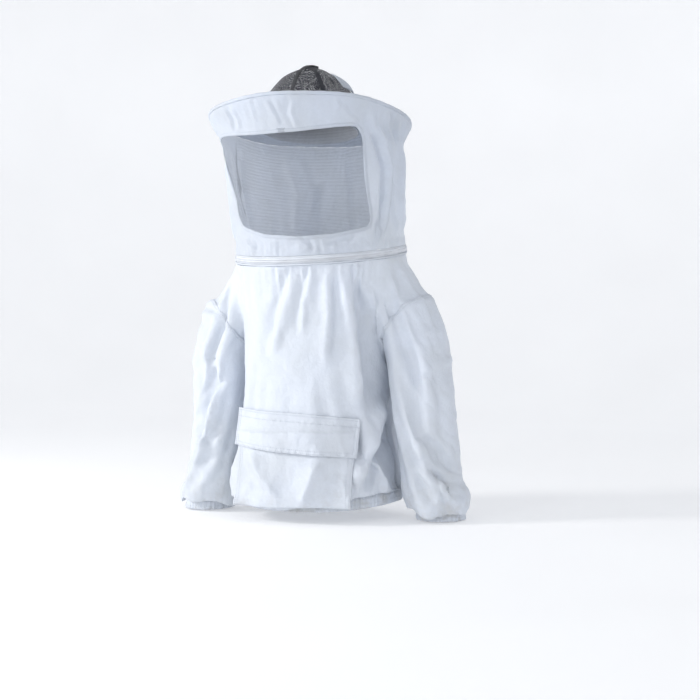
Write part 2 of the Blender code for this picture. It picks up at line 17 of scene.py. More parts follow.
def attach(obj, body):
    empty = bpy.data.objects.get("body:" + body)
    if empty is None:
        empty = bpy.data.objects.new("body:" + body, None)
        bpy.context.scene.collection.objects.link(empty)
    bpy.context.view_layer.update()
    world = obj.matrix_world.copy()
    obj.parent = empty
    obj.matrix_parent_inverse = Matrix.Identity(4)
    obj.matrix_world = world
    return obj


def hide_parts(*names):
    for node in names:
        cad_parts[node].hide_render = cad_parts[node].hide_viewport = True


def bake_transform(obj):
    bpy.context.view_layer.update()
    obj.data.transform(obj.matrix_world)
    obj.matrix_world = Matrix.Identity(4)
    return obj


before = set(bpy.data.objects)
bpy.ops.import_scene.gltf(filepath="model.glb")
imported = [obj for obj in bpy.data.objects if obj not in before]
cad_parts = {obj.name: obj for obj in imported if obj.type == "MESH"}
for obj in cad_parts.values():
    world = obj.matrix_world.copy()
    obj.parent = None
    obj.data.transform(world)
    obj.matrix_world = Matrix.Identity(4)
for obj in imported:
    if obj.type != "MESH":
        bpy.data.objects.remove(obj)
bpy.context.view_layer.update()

# --- places taken from the CAD frame ---------------------------------------------------------
NECK_R, NECK_Z = 0.153, 0.005
NECK_FRAME = Matrix.Translation((0, 0, NECK_Z)) @ Matrix.Rotation(math.radians(9.5), 4, "X")
BRIM_Y, BRIM_Z = -0.050, 0.232
BRIM_FRAME = Matrix.Translation((0, BRIM_Y, BRIM_Z)) @ Matrix.Rotation(math.radians(-5.0), 4, "X")
CROWN_R, CROWN_H = 0.088, 0.096
HEM_TOP, HEM_LOW = -0.424, -0.446
CUFF_TOP, CUFF_LOW, CUFF_X = -0.4435, -0.462, 0.225
SEAM_CENTRE = Vector((0.171, 0, -0.112))        # of the armhole seam on the wearer's left
SEAM_TILT = math.radians(50)
VIEW_AZIMUTH = math.radians(21)


# --- numbers and noise -----------------------------------------------------------------------
def mix(low, high, share):
    return low + (high - low) * share


def smooth(low, high, value):
    share = np.clip((value - low) / (high - low), 0, 1)
    return share * share * (3 - 2 * share)


def table_at(rows, key):
    """Interpolates rows of (key, value, ...), whose keys run upwards."""
    keys = [row[0] for row in rows]
    return [float(np.interp(key, keys, [row[i] for row in rows])) for i in range(1, len(rows[0]))]


def coords(obj):
    co = np.empty(len(obj.data.vertices) * 3)
    obj.data.vertices.foreach_get("co", co)
    return co.reshape(-1, 3)


def set_coords(obj, co):
    obj.data.vertices.foreach_set("co", np.ascontiguousarray(co, dtype=np.float32).ravel())
    obj.data.update()


def vertex_normals(obj):
    normals = np.empty(len(obj.data.vertices) * 3)
    obj.data.vertex_normals.foreach_get("vector", normals)
    return normals.reshape(-1, 3)


def new_mesh(name, points, faces, smooth_shade=True):
    mesh = bpy.data.meshes.new(name)
    mesh.from_pydata([tuple(p) for p in points], [], faces)
    mesh.update()
    obj = bpy.data.objects.new(name, mesh)
    bpy.context.scene.collection.objects.link(obj)
    if smooth_shade:
        mesh.shade_smooth()
    return obj


def apply_modifiers(obj):
    bpy.context.view_layer.update()
    graph = bpy.context.evaluated_depsgraph_get()
    made = bpy.data.meshes.new_from_object(obj.evaluated_get(graph))
    obj.modifiers.clear()
    obj.data = made


def remove(*objs):
    for obj in objs:
        bpy.data.objects.remove(obj, do_unlink=True)


def outward(obj):
    work = bmesh.new()
    work.from_mesh(obj.data)
    bmesh.ops.recalc_face_normals(work, faces=work.faces)
    work.to_mesh(obj.data)
    work.free()


def loft(name, rings, wrap_ends=True):
    count = len(rings[0])
    points = [p for ring in rings for p in ring]
    faces = []
    if wrap_ends:
        faces = [tuple(range(count)), tuple(len(points) - count + i for i in range(count))]
    for k in range(len(rings) - 1):
        for i in range(count):
            j = (i + 1) % count
            faces.append((k * count + i, k * count + j, (k + 1) * count + j, (k + 1) * count + i))
    obj = new_mesh(name, points, faces)
    outward(obj)
    return obj


# --- the smock's volume ----------------------------------------------------------------------
SQUARENESS = 2.4
# height, half width, half depth
BODY = [
    (-0.470, 0.1410, 0.1230), (-0.424, 0.1420, 0.1240), (-0.417, 0.1500, 0.1370),
    (-0.395, 0.1520, 0.1420), (-0.350, 0.1460, 0.1400), (-0.300, 0.1370, 0.1360),
    (-0.250, 0.1300, 0.1340), (-0.200, 0.1270, 0.1330), (-0.150, 0.1310, 0.1350),
    (-0.100, 0.1440, 0.1380), (-0.060, 0.1550, 0.1410), (-0.030, 0.1570, 0.1450),
]
# centre x, centre z, tilt in degrees, half across, half depth
ARM = [
    (0.080, -0.046, 80, 0.042, 0.062), (0.120, -0.058, 72, 0.050, 0.070),
    (0.150, -0.078, 62, 0.058, 0.075), (0.175, -0.110, 50, 0.061, 0.076),
    (0.193, -0.148, 33, 0.059, 0.075), (0.204, -0.190, 20, 0.056, 0.073),
    (0.211, -0.240, 12, 0.054, 0.070), (0.216, -0.290, 9, 0.053, 0.068),
    (0.219, -0.340, 6, 0.054, 0.068), (0.222, -0.385, 4, 0.056, 0.070),
    (0.224, -0.415, 2, 0.057, 0.069), (0.225, -0.435, 0, 0.050, 0.058),
    (0.225, -0.4435, 0, 0.041, 0.045), (0.225, -0.480, 0, 0.040, 0.044),
]


def oval(z, half_width, half_depth, count=64):
    ring = []
    for i in range(count):
        turn = 2 * math.pi * (i + 0.5) / count
        s, c = math.sin(turn), math.cos(turn)
        x = half_width * math.copysign(abs(s) ** (2 / SQUARENESS), s)
        y = -half_depth * math.copysign(abs(c) ** (2 / SQUARENESS), c)
        ring.append(Vector((x, y, z)))
    return ring


def neck_point(radius, turn, lift=0.0):
    return NECK_FRAME @ Vector((radius * math.sin(turn), -radius * math.cos(turn), lift))


def body_rings(inset=0.0):
    rings = [oval(z, a - inset, b - inset) for z, a, b in BODY]
    for lift in (-0.0085, 0.030):
        rings.append([neck_point(NECK_R - 0.001 - inset, 2 * math.pi * (i + 0.5) / 64, lift)
                      for i in range(64)])
    return rings


def arm_rings(side, inset=0.0, count=40, stations=ARM):
    rings = []
    for x, z, degrees, across, depth in stations:
        tilt = math.radians(degrees)
        ring = []
        for i in range(count):
            turn = 2 * math.pi * (i + 0.5) / count
            r = (across - inset) * math.cos(turn)
            ring.append(Vector((side * (x + r * math.cos(tilt)), (depth - inset) * math.sin(turn),
                                z + r * math.sin(tilt))))
        rings.append(ring)
    return rings


VOXEL = 0.0075
SMOCK_FRAMES = 40


def smock_volume():
    parts = [loft("volume", body_rings())]
    parts += [loft("volume", arm_rings(side)) for side in (1, -1)]
    bm = bmesh.new()
    for part in parts:
        bm.from_mesh(part.data)
    obj = new_mesh("smock", [], [])
    bm.to_mesh(obj.data)
    bm.free()
    remove(*parts)
    remesh = obj.modifiers.new("remesh", "REMESH")
    remesh.mode = "VOXEL"
    remesh.voxel_size = VOXEL
    relax = obj.modifiers.new("relax", "SMOOTH")
    relax.factor = 0.5
    relax.iterations = 4
    apply_modifiers(obj)
    return obj


def cut_open(obj):
    """Opens the volume at the neck, hem and cuffs along clean planes."""
    bm = bmesh.new()
    bm.from_mesh(obj.data)
    up = (NECK_FRAME.to_3x3() @ Vector((0, 0, 1)))
    neck_co = NECK_FRAME @ Vector((0, 0, -0.0085))
    planes = [(neck_co, up, lambda p: abs(p.x) < 0.17 and p.z > -0.06),
              (Vector((0, 0, HEM_TOP)), Vector((0, 0, -1)), lambda p: abs(p.x) < 0.162 and p.z < -0.38),
              (Vector((0, 0, CUFF_TOP)), Vector((0, 0, -1)), lambda p: abs(p.x) > 0.162 and p.z < -0.40)]
    for co, no, near in planes:
        faces = [f for f in bm.faces if near(f.calc_center_median())]
        edges = {e for f in faces for e in f.edges}
        verts = {v for f in faces for v in f.verts}
        bmesh.ops.bisect_plane(bm, geom=list(verts) + list(edges) + faces, dist=0.0008,
                               plane_co=co, plane_no=no, clear_outer=False)
        gone = [f for f in bm.faces if near(f.calc_center_median())
                and (f.calc_center_median() - co).dot(no) > 0.0001]
        bmesh.ops.delete(bm, geom=gone, context="FACES")
    # the two armhole seams
    for side in (1, -1):
        no = Vector((side * math.sin(SEAM_TILT), 0, -math.cos(SEAM_TILT)))
        co = Vector((side * SEAM_CENTRE.x, 0, SEAM_CENTRE.z))
        faces = [f for f in bm.faces if side * f.calc_center_median().x > split_x(f.calc_center_median().z)
                 and f.calc_center_median().z > -0.19]
        edges = {e for f in faces for e in f.edges}
        verts = {v for f in faces for v in f.verts}
        bmesh.ops.bisect_plane(bm, geom=list(verts) + list(edges) + faces, dist=0.0012,
                               plane_co=co, plane_no=no)
    bmesh.ops.remove_doubles(bm, verts=bm.verts, dist=0.0008)
    bm.to_mesh(obj.data)
    bm.free()


def split_x(z):
    """The middle of the gap between the body and the sleeve at height z."""
    return table_at([(-0.47, 0.167), (-0.40, 0.160), (-0.35, 0.155), (-0.30, 0.149), (-0.25, 0.142),
                     (-0.20, 0.136), (-0.15, 0.132), (-0.12, 0.120), (0.05, 0.110)], z)[0]


def sleeve_side(p):
    """1 or -1 where a point of the start shape belongs to a sleeve, 0 for the body."""
    side = 1 if p.x > 0 else -1
    out = (Vector((side * p.x, 0, p.z)) - SEAM_CENTRE).dot(Vector((math.sin(SEAM_TILT), 0,
                                                                   -math.cos(SEAM_TILT))))
    return side if side * p.x > split_x(p.z) and out > 0 else 0


# --- the wearer stand-in that the cloth falls on ----------------------------------------------
TORSO = [(-0.50, 0.118, 0.098), (-0.40, 0.120, 0.100), (-0.30, 0.112, 0.094), (-0.20, 0.108, 0.092),
         (-0.12, 0.112, 0.094), (-0.07, 0.114, 0.088), (-0.045, 0.104, 0.070), (-0.03, 0.070, 0.055)]
INNER_ARM = [(0.060, -0.055, 86, 0.026, 0.040), (0.110, -0.064, 78, 0.034, 0.048),
             (0.145, -0.084, 64, 0.040, 0.052), (0.168, -0.115, 48, 0.042, 0.053),
             (0.183, -0.155, 28, 0.038, 0.050), (0.196, -0.210, 14, 0.036, 0.047),
             (0.206, -0.280, 9, 0.034, 0.044), (0.216, -0.350, 5, 0.032, 0.040),
             (0.224, -0.420, 0, 0.030, 0.036), (0.225, -0.490, 0, 0.028, 0.034)]


def wearer():
    parts = [loft("wearer", [oval(z, a, b, 32) for z, a, b in TORSO])]
    parts += [loft("wearer", arm_rings(side, count=20, stations=INNER_ARM)) for side in (1, -1)]
    for part in parts:
        part.modifiers.new("collide", "COLLISION")
        part.collision.thickness_outer = 0.004
        part.collision.cloth_friction = 12.0
    return parts


def weight_group(obj, name, weights):
    group = obj.vertex_groups.new(name=name)
    for value in sorted(set(np.round(weights, 2))):
        members = np.nonzero(np.round(weights, 2) == value)[0]
        group.add([int(i) for i in members], float(value), "REPLACE")
    return name


def simulate(obj, pin, slack, frames, grow, bending=1.5, gravity=1.0, stiffness=25.0):
    """Lets obj fall as cloth; pin holds points in place, slack says where extra cloth is."""
    cloth = obj.modifiers.new("cloth", "CLOTH")
    s = cloth.settings
    s.quality = 7
    s.mass = 0.15
    s.tension_stiffness = stiffness
    s.compression_stiffness = stiffness
    s.shear_stiffness = stiffness * 0.5
    s.bending_stiffness = bending
    s.tension_damping = 8
    s.compression_damping = 8
    s.shear_damping = 8
    s.air_damping = 2.0
    s.vertex_group_mass = weight_group(obj, "pin", pin)
    s.pin_stiffness = 1.0
    s.vertex_group_shrink = weight_group(obj, "slack", slack)
    s.shrink_min = 0.0
    s.shrink_max = -grow
    s.effector_weights.gravity = gravity
    c = cloth.collision_settings
    c.collision_quality = 2
    c.distance_min = 0.003
    c.use_self_collision = False
    c.self_distance_min = 0.0035
    cloth.point_cache.frame_start = 1
    cloth.point_cache.frame_end = frames
    scene = bpy.context.scene
    for number in range(1, frames + 1):
        scene.frame_set(number)
    apply_modifiers(obj)
    scene.frame_set(1)


def make_smock():
    """The smock fallen over its wearer; its faces carry part 1, -1 or 0 for left, right or body."""
    obj = smock_volume()
    cut_open(obj)
    bm = bmesh.new()
    bm.from_mesh(obj.data)
    bm.verts.ensure_lookup_table()
    tag = bm.faces.layers.int.new("part")
    for face in bm.faces:
        face[tag] = sleeve_side(face.calc_center_median())
    pin = np.array([float(v.is_boundary) for v in bm.verts])
    slack = np.array([0.8 if any(f[tag] == 0 for f in v.link_faces) else 1.0 for v in bm.verts])
    bm.to_mesh(obj.data)
    bm.free()
    people = wearer()
    simulate(obj, pin, slack, SMOCK_FRAMES, 0.13)
    remove(*people)
    return obj


# --- folds and shaping after the fall --------------------------------------------------------
# Each fold as seen from an azimuth: its line of (across, height), half width, height of the ridge and
# the side the hollow beside it lies on (-1 left of the line going down, 1 right, 0 none).
BODY_FOLDS = [
    (21, [(0.040, -0.030), (0.052, -0.130), (0.062, -0.220), (0.068, -0.285)], 0.015, 0.010, -1),
    (21, [(0.110, -0.245), (0.090, -0.320), (0.067, -0.385), (0.054, -0.418)], 0.014, 0.011, -1),
    (21, [(-0.122, -0.335), (-0.098, -0.380), (-0.066, -0.425)], 0.010, 0.007, 1),
    (21, [(0.005, -0.355), (-0.012, -0.395), (-0.030, -0.436)], 0.011, 0.008, -1),
    (21, [(0.012, -0.030), (0.016, -0.110), (0.010, -0.200)], 0.009, 0.004, -1),
    (21, [(-0.040, -0.035), (-0.060, -0.110), (-0.085, -0.190)], 0.010, 0.004, 1),
    (21, [(-0.010, -0.030), (-0.025, -0.090), (-0.030, -0.150)], 0.007, 0.003, 1),
    (21, [(0.085, -0.060), (0.100, -0.120), (0.115, -0.190)], 0.012, 0.006, -1),
    (21, [(0.030, -0.375), (0.045, -0.400), (0.050, -0.432)], 0.009, 0.006, 1),
    (201, [(0.060, -0.040), (0.050, -0.180), (0.070, -0.330)], 0.016, 0.008, 1),
    (201, [(-0.050, -0.050), (-0.060, -0.200), (-0.030, -0.360)], 0.015, 0.008, -1),
    (201, [(0.110, -0.250), (0.080, -0.330), (0.060, -0.420)], 0.013, 0.008, 1),
    (201, [(-0.110, -0.230), (-0.090, -0.330), (-0.090, -0.420)], 0.013, 0.008, -1),
    (201, [(0.000, -0.080), (0.010, -0.200), (0.000, -0.300)], 0.012, 0.004, 1),
]
LEFT_FOLDS = [
    (21, [(0.240, -0.186), (0.205, -0.194), (0.158, -0.212)], 0.010, 0.0035, -1),
    (21, [(0.162, -0.315), (0.190, -0.365), (0.235, -0.400)], 0.010, 0.008, -1),
    (21, [(0.158, -0.360), (0.195, -0.395), (0.240, -0.418)], 0.009, 0.008, -1),
    (21, [(0.216, -0.200), (0.226, -0.290), (0.232, -0.380)], 0.012, 0.0045, 1),
    (21, [(0.176, -0.130), (0.180, -0.230), (0.192, -0.330)], 0.013, 0.0045, 1),
    (111, [(0.010, -0.150), (-0.010, -0.250), (0.012, -0.360)], 0.012, 0.006, 1),
    (201, [(-0.200, -0.180), (-0.220, -0.260), (-0.215, -0.350)], 0.011, 0.006, 1),
]
RIGHT_FOLDS = [
    (21, [(-0.225, -0.100), (-0.190, -0.112), (-0.158, -0.112)], 0.009, 0.005, -1),
    (21, [(-0.158, -0.125), (-0.175, -0.165), (-0.192, -0.210)], 0.009, 0.007, 1),
    (21, [(-0.158, -0.215), (-0.185, -0.255), (-0.205, -0.320)], 0.011, 0.0045, 1),
    (21, [(-0.170, -0.335), (-0.205, -0.345), (-0.240, -0.330)], 0.011, 0.0045, 1),
    (21, [(-0.172, -0.372), (-0.205, -0.392), (-0.238, -0.385)], 0.010, 0.004, 1),
    (291, [(-0.010, -0.150), (0.010, -0.250), (-0.012, -0.360)], 0.012, 0.006, 1),
    (201, [(0.200, -0.180), (0.220, -0.260), (0.215, -0.350)], 0.011, 0.006, -1),
]


BODY_DEPTH, SLEEVE_DEPTH = 1.6, 1.15        # how deep the listed folds are pressed


def line_distance(points, line):
    """Signed distance of 2-D points to a line of points, and how far along it they lie from 0 to 1."""
    line = np.array(line, float)
    steps = np.linalg.norm(np.diff(line, axis=0), axis=1)
    total = steps.sum()
    best = np.full(len(points), 9.0)
    signed = np.zeros(len(points))
    along = np.zeros(len(points))
    done = 0.0
    for a, b, step in zip(line, line[1:], steps):
        d = (b - a) / step
        rel = points - a
        t = np.clip(rel @ d, 0, step)
        off = rel - t[:, None] * d
        dist = np.linalg.norm(off, axis=1)
        near = dist < best
        best[near] = dist[near]
        side = np.sign(d[0] * rel[:, 1] - d[1] * rel[:, 0])
        signed[near] = (dist * side)[near]
        along[near] = ((done + t) / total)[near]
        done += step
    return signed, along


def add_folds(co, normals, folds, depth=1.0):
    for azimuth, line, half, height, hollow in folds:
        a = math.radians(azimuth)
        across = co[:, 0] * math.cos(a) + co[:, 1] * math.sin(a)
        facing = normals[:, 0] * math.sin(a) - normals[:, 1] * math.cos(a)
        signed, along = line_distance(np.stack([across, co[:, 2]], 1), line)
        wander = np.array([noise.noise(Vector(p) * 22.0) for p in co[np.abs(signed) < 4 * half]])
        width = np.full(len(co), half)
        width[np.abs(signed) < 4 * half] *= 1 + 0.45 * wander
        taper = smooth(0.0, 0.22, along) * smooth(0.0, 0.25, 1 - along) * smooth(0.05, 0.35, facing)
        ridge = np.exp(-(signed / width) ** 2)
        dip = np.exp(-((signed + hollow * 1.5 * width) / (0.9 * width)) ** 2) if hollow else 0
        co = co + normals * (depth * height * taper * (ridge - 0.85 * dip))[:, None]
    return co


def pleats(place, phase_seed, count):
    """An uneven wave round a ring: place is 0 to 1 round it."""
    rng = np.random.default_rng(phase_seed)
    wave = np.zeros(len(place))
    for k in range(9):
        n = int(round(count * (0.55 + 0.11 * k)))
        wave += np.sin(2 * math.pi * (n * place + rng.random())) * (0.4 + 0.6 * rng.random())
    return wave / 3.0


def neck_lift(co):
    """Distance of points above the neck zip's plane."""
    up = NECK_FRAME.to_3x3() @ Vector((0, 0, 1))
    return (co - np.array(NECK_FRAME.translation)) @ np.array(up)


def side_rise(turn):
    """How much higher the hem sits at the sides than at the front."""
    return 0.010 * np.sin(turn) ** 2


def shape_body(co, normals):
    """Pleats at the neck and hem, the blouse over the hem, and fullness towards the sleeves."""
    turn = np.arctan2(co[:, 0], -co[:, 1])
    place = turn / (2 * math.pi) + 0.5
    radial = np.stack([np.sin(turn), -np.cos(turn), np.zeros(len(co))], 1)
    z = co[:, 2].copy()
    co[:, 2] += side_rise(turn) * smooth(-0.33, -0.424, z)
    full = smooth(-0.10, -0.21, z) * smooth(-0.424, -0.36, z)
    co[:, 0] *= 1 + 0.085 * full * smooth(0.4, 1.1, np.abs(turn)) * smooth(0.4, 1.1, math.pi - np.abs(turn))
    drop = -neck_lift(co) - 0.0085
    front = 1.0 + 0.8 * np.exp(-((turn - 0.42) / 0.42) ** 2)
    near_neck = smooth(0.0, 0.006, drop) * np.exp(-np.clip(drop, 0, 1) / 0.032)
    on_front_or_back = smooth(0.35, 0.8, np.abs(np.cos(turn)))
    co = co + normals * (0.0026 * front * near_neck * on_front_or_back * pleats(place, 5, 62))[:, None]
    rise = z - HEM_TOP
    sag = smooth(0.0, 0.016, rise) * smooth(0.095, 0.018, rise)
    uneven = 1 + 0.35 * np.sin(3 * turn + 0.6) * np.cos(2 * turn) + 0.25 * np.sin(7 * turn + 1.9)
    uneven = 0.30 * (uneven - 1) + 0.62 + 0.95 * np.exp(-((turn + 0.30) / 0.62) ** 2)
    co[:, 2] -= 0.021 * sag * uneven
    co += radial * (0.0075 * sag * uneven)[:, None]
    near_hem = smooth(0.0, 0.005, rise) * np.exp(-np.clip(rise, 0, 1) / 0.020)
    co += radial * (0.0030 * near_hem * pleats(place, 9, 74))[:, None]
    return co


def shape_sleeve(co, normals, side):
    """Pleats and the overhang above the cuff, and fullness towards the body."""
    z = co[:, 2]
    centre = np.array([np.interp(v, [-0.48, -0.40, -0.30, -0.20, -0.11], [0.225, 0.223, 0.212, 0.197, 0.171])
                       for v in z]) * side
    away = np.stack([co[:, 0] - centre, co[:, 1], np.zeros(len(co))], 1)
    turn = np.arctan2(away[:, 0], -away[:, 1])
    away /= np.maximum(np.linalg.norm(away, axis=1), 1e-6)[:, None]
    place = turn / (2 * math.pi) + 0.5
    rise = z - CUFF_TOP
    sag = smooth(0.0, 0.012, rise) * smooth(0.085, 0.016, rise)
    uneven = 1 + 0.4 * np.sin(2 * turn + 0.9 * side) + 0.25 * np.sin(5 * turn + 2.0)
    co[:, 2] -= 0.015 * sag * uneven
    co += away * (0.006 * sag * uneven)[:, None]
    near = smooth(0.0, 0.005, rise) * np.exp(-np.clip(rise, 0, 1) / 0.016)
    co += away * (0.0024 * near * pleats(place, 12 + side, 34))[:, None]
    outer = smooth(-0.3, 0.7, side * away[:, 0]) * smooth(-0.32, -0.16, z) * smooth(-0.02, -0.09, z)
    co[:, 0] += side * (0.014 if side < 0 else 0.005) * outer
    inner = smooth(0.0, 0.8, -side * away[:, 0]) * smooth(-0.17, -0.22, z) * smooth(-0.44, -0.40, z)
    co[:, 0] -= side * 0.006 * inner
    return co


def crumple(co, normals, amount, seed):
    """Small soft dents all over, as worn cotton has."""
    shift = np.array([noise.fractal(Vector(p) * 30.0 + Vector((seed, 0, 0)), 0.9, 2.2, 3) for p in co])
    stretched = np.array([noise.noise(Vector((p[0] * 34, p[1] * 34, p[2] * 11)) + Vector((0, seed, 0)))
                          for p in co])
    return co + normals * (amount * (0.8 * shift + 0.9 * stretched))[:, None]


def face_parts(obj):
    parts = np.empty(len(obj.data.polygons), dtype=np.int32)
    obj.data.attributes["part"].data.foreach_get("value", parts)
    return parts


def soft_masks(obj, parts):
    """For each point, how far it belongs to the left sleeve and to the right one, softened at the seams."""
    count = len(obj.data.vertices)
    total = np.zeros(count)
    hits = np.zeros(count)
    for poly, part in zip(obj.data.polygons, parts):
        for v in poly.vertices:
            total[v] += part
            hits[v] += 1
    value = total / np.maximum(hits, 1)
    edges = np.empty(len(obj.data.edges) * 2, dtype=np.int64)
    obj.data.edges.foreach_get("vertices", edges)
    edges = edges.reshape(-1, 2)
    for _ in range(10):
        spread = np.zeros(count)
        number = np.zeros(count)
        np.add.at(spread, edges[:, 0], value[edges[:, 1]])
        np.add.at(spread, edges[:, 1], value[edges[:, 0]])
        np.add.at(number, edges[:, 0], 1)
        np.add.at(number, edges[:, 1], 1)
        value = 0.4 * value + 0.6 * spread / np.maximum(number, 1)
    return smooth(0.15, 0.95, value), smooth(0.15, 0.95, -value)


def part_of(obj, name, parts, keep):
    """A new object with the faces of one part, and no loose points."""
    bm = bmesh.new()
    bm.from_mesh(obj.data)
    bm.faces.ensure_lookup_table()
    gone = [bm.faces[i] for i in np.nonzero(parts != keep)[0]]
    bmesh.ops.delete(bm, geom=gone, context="FACES")
    made = new_mesh(name, [], [])
    bm.to_mesh(made.data)
    bm.free()
    made.data.shade_smooth()
    return made


def seam_loops(obj, parts):
    """The lines of points where two parts meet, in order, with their normals."""
    bm = bmesh.new()
    bm.from_mesh(obj.data)
    bm.faces.ensure_lookup_table()
    tag = {i: int(p) for i, p in enumerate(parts)}
    edges = [e for e in bm.edges if len(e.link_faces) == 2
             and tag[e.link_faces[0].index] != tag[e.link_faces[1].index]]
    links = {}
    for e in edges:
        a, b = e.verts
        links.setdefault(a.index, []).append(b.index)
        links.setdefault(b.index, []).append(a.index)
    bm.verts.ensure_lookup_table()
    loops, left = [], set(links)
    while left:
        start = left.pop()
        chain, here, last = [start], start, None
        while True:
            ahead = [n for n in links[here] if n != last and n in left]
            if not ahead:
                break
            last, here = here, ahead[0]
            left.discard(here)
            chain.append(here)
        if len(chain) > 20:
            loops.append(([bm.verts[i].co.copy() for i in chain], [bm.verts[i].normal.copy() for i in chain]))
    bm.free()
    return loops


def shaped_smock():
    """The fallen smock, refined, folded and parted; returns its three pieces and the armhole lines."""
    obj = make_smock()
    refine = obj.modifiers.new("refine", "SUBSURF")
    refine.levels = refine.render_levels = 1
    apply_modifiers(obj)
    parts = face_parts(obj)
    left, right = soft_masks(obj, parts)
    body = np.clip(1 - left - right, 0, 1)
    co = coords(obj)
    at_hem = (np.abs(co[:, 2] - HEM_TOP) < 0.003) & (edge_keep(obj) == 0) & (np.abs(co[:, 0]) < 0.165)
    co[at_hem, 2] += side_rise(np.arctan2(co[at_hem, 0], -co[at_hem, 1]))
    for mask, act in ((body, lambda c, n: shape_body(c.copy(), n)),
                      (left, lambda c, n: shape_sleeve(c.copy(), n, 1)),
                      (right, lambda c, n: shape_sleeve(c.copy(), n, -1)),
                      (body, lambda c, n: add_folds(c, n, BODY_FOLDS, BODY_DEPTH)),
                      (left, lambda c, n: add_folds(c, n, LEFT_FOLDS, SLEEVE_DEPTH)),
                      (right, lambda c, n: add_folds(c, n, RIGHT_FOLDS, SLEEVE_DEPTH)),
                      (np.ones(len(co)), lambda c, n: crumple(c, n, 0.0016, 3.0))):
        set_coords(obj, co)
        normals = vertex_normals(obj)
        fixed = edge_keep(obj)
        co = co + (mask * fixed)[:, None] * (act(co, normals) - co)
    set_coords(obj, co)
    loops = seam_loops(obj, parts)
    pieces = [part_of(obj, name, parts, keep) for name, keep in
              (("smock_body", 0), ("smock_sleeve_left", 1), ("smock_sleeve_right", -1))]
    remove(obj)
    return pieces, loops


def edge_keep(obj):
    """0 at points on an open edge, 1 elsewhere."""
    bm = bmesh.new()
    bm.from_mesh(obj.data)
    keep = np.array([0.0 if v.is_boundary else 1.0 for v in bm.verts])
    bm.free()
    return keep


# --- strips, stitches and rings --------------------------------------------------------------
class Builder:
    """Gathers points and faces into one mesh."""

    def __init__(self):
        self.points, self.faces = [], []

    def add(self, points, faces):
        base = len(self.points)
        self.points += [tuple(p) for p in points]
        self.faces += [tuple(base + i for i in face) for face in faces]

    def make(self, name, smooth_shade=True):
        return new_mesh(name, self.points, self.faces, smooth_shade)


def resample(path, normals, step, closed=False):
    """Evenly spaced points and normals along a path."""
    pts = np.array([tuple(p) for p in path], float)
    nrm = np.array([tuple(n) for n in normals], float)
    if closed:
        pts, nrm = np.vstack([pts, pts[:1]]), np.vstack([nrm, nrm[:1]])
    lengths = np.concatenate([[0], np.cumsum(np.linalg.norm(np.diff(pts, axis=0), axis=1))])
    count = max(3, int(round(lengths[-1] / step)) + (0 if closed else 1))
    at = np.linspace(0, lengths[-1], count, endpoint=not closed)
    pts = np.stack([np.interp(at, lengths, pts[:, i]) for i in range(3)], 1)
    nrm = np.stack([np.interp(at, lengths, nrm[:, i]) for i in range(3)], 1)
    nrm /= np.linalg.norm(nrm, axis=1)[:, None]
    return pts, nrm


def frames(pts, nrm, closed):
    """Tangents and sideways directions along a path."""
    if closed:
        tangent = np.roll(pts, -1, 0) - np.roll(pts, 1, 0)
    else:
        tangent = np.gradient(pts, axis=0)
    tangent /= np.maximum(np.linalg.norm(tangent, axis=1), 1e-9)[:, None]
    side = np.cross(tangent, nrm)
    side /= np.maximum(np.linalg.norm(side, axis=1), 1e-9)[:, None]
    return tangent, side


STRIP_SECTION = [(-0.50, -0.5), (-0.50, 0.50), (-0.43, 0.92), (0.0, 1.0), (0.43, 0.92), (0.50, 0.50),
                 (0.50, -0.5)]


def strip(builder, path, normals, width, height, closed=False, step=0.004, offset=0.0, section=STRIP_SECTION):
    """A flat band of cloth that follows a path, proud of the surface by its height."""
    pts, nrm = resample(path, normals, step, closed)
    _, side = frames(pts, nrm, closed)
    rows = [[pts[i] + side[i] * (offset + u * width) + nrm[i] * v * height for u, v in section]
            for i in range(len(pts))]
    size, count = len(section), len(rows)
    faces = []
    for i in range(count if closed else count - 1):
        j = (i + 1) % count
        for k in range(size):
            m = (k + 1) % size
            faces.append((i * size + k, i * size + m, j * size + m, j * size + k))
    if not closed:
        faces.append(tuple(range(size)))
        faces.append(tuple((count - 1) * size + k for k in reversed(range(size))))
    builder.add([p for row in rows for p in row], faces)


def stitches(builder, path, normals, offset=0.0, lift=0.0008, pitch=0.0038, length=0.0027, thick=0.00045,
             closed=False):
    """A row of stitches beside a path."""
    pts, nrm = resample(path, normals, pitch, closed)
    tangent, side = frames(pts, nrm, closed)
    for p, n, t, s in zip(pts, nrm, tangent, side):
        c = p + s * offset + n * lift
        points = [c - t * length / 2 - n * thick]
        for along in (-0.28, 0.28):
            for u, v in ((1, 0), (0, 1), (-1, 0), (0, -0.6)):
                points.append(c + t * length * along + s * u * thick + n * v * thick)
        points.append(c + t * length / 2 - n * thick)
        faces = [(0, 1 + k, 1 + (k + 1) % 4) for k in range(4)]
        faces += [(1 + k, 5 + k, 5 + (k + 1) % 4, 1 + (k + 1) % 4) for k in range(4)]
        faces += [(9, 5 + (k + 1) % 4, 5 + k) for k in range(4)]
        builder.add(points, faces)


def grid_faces(rows, columns, wrap=False, base=0):
    faces = []
    for k in range(rows - 1):
        for i in range(columns if wrap else columns - 1):
            j = (i + 1) % columns
            faces.append((base + k * columns + i, base + k * columns + j,
                          base + (k + 1) * columns + j, base + (k + 1) * columns + i))
    return faces


def grid_mesh(name, points, wrap=False):
    rows, columns = points.shape[:2]
    return new_mesh(name, points.reshape(-1, 3), grid_faces(rows, columns, wrap))


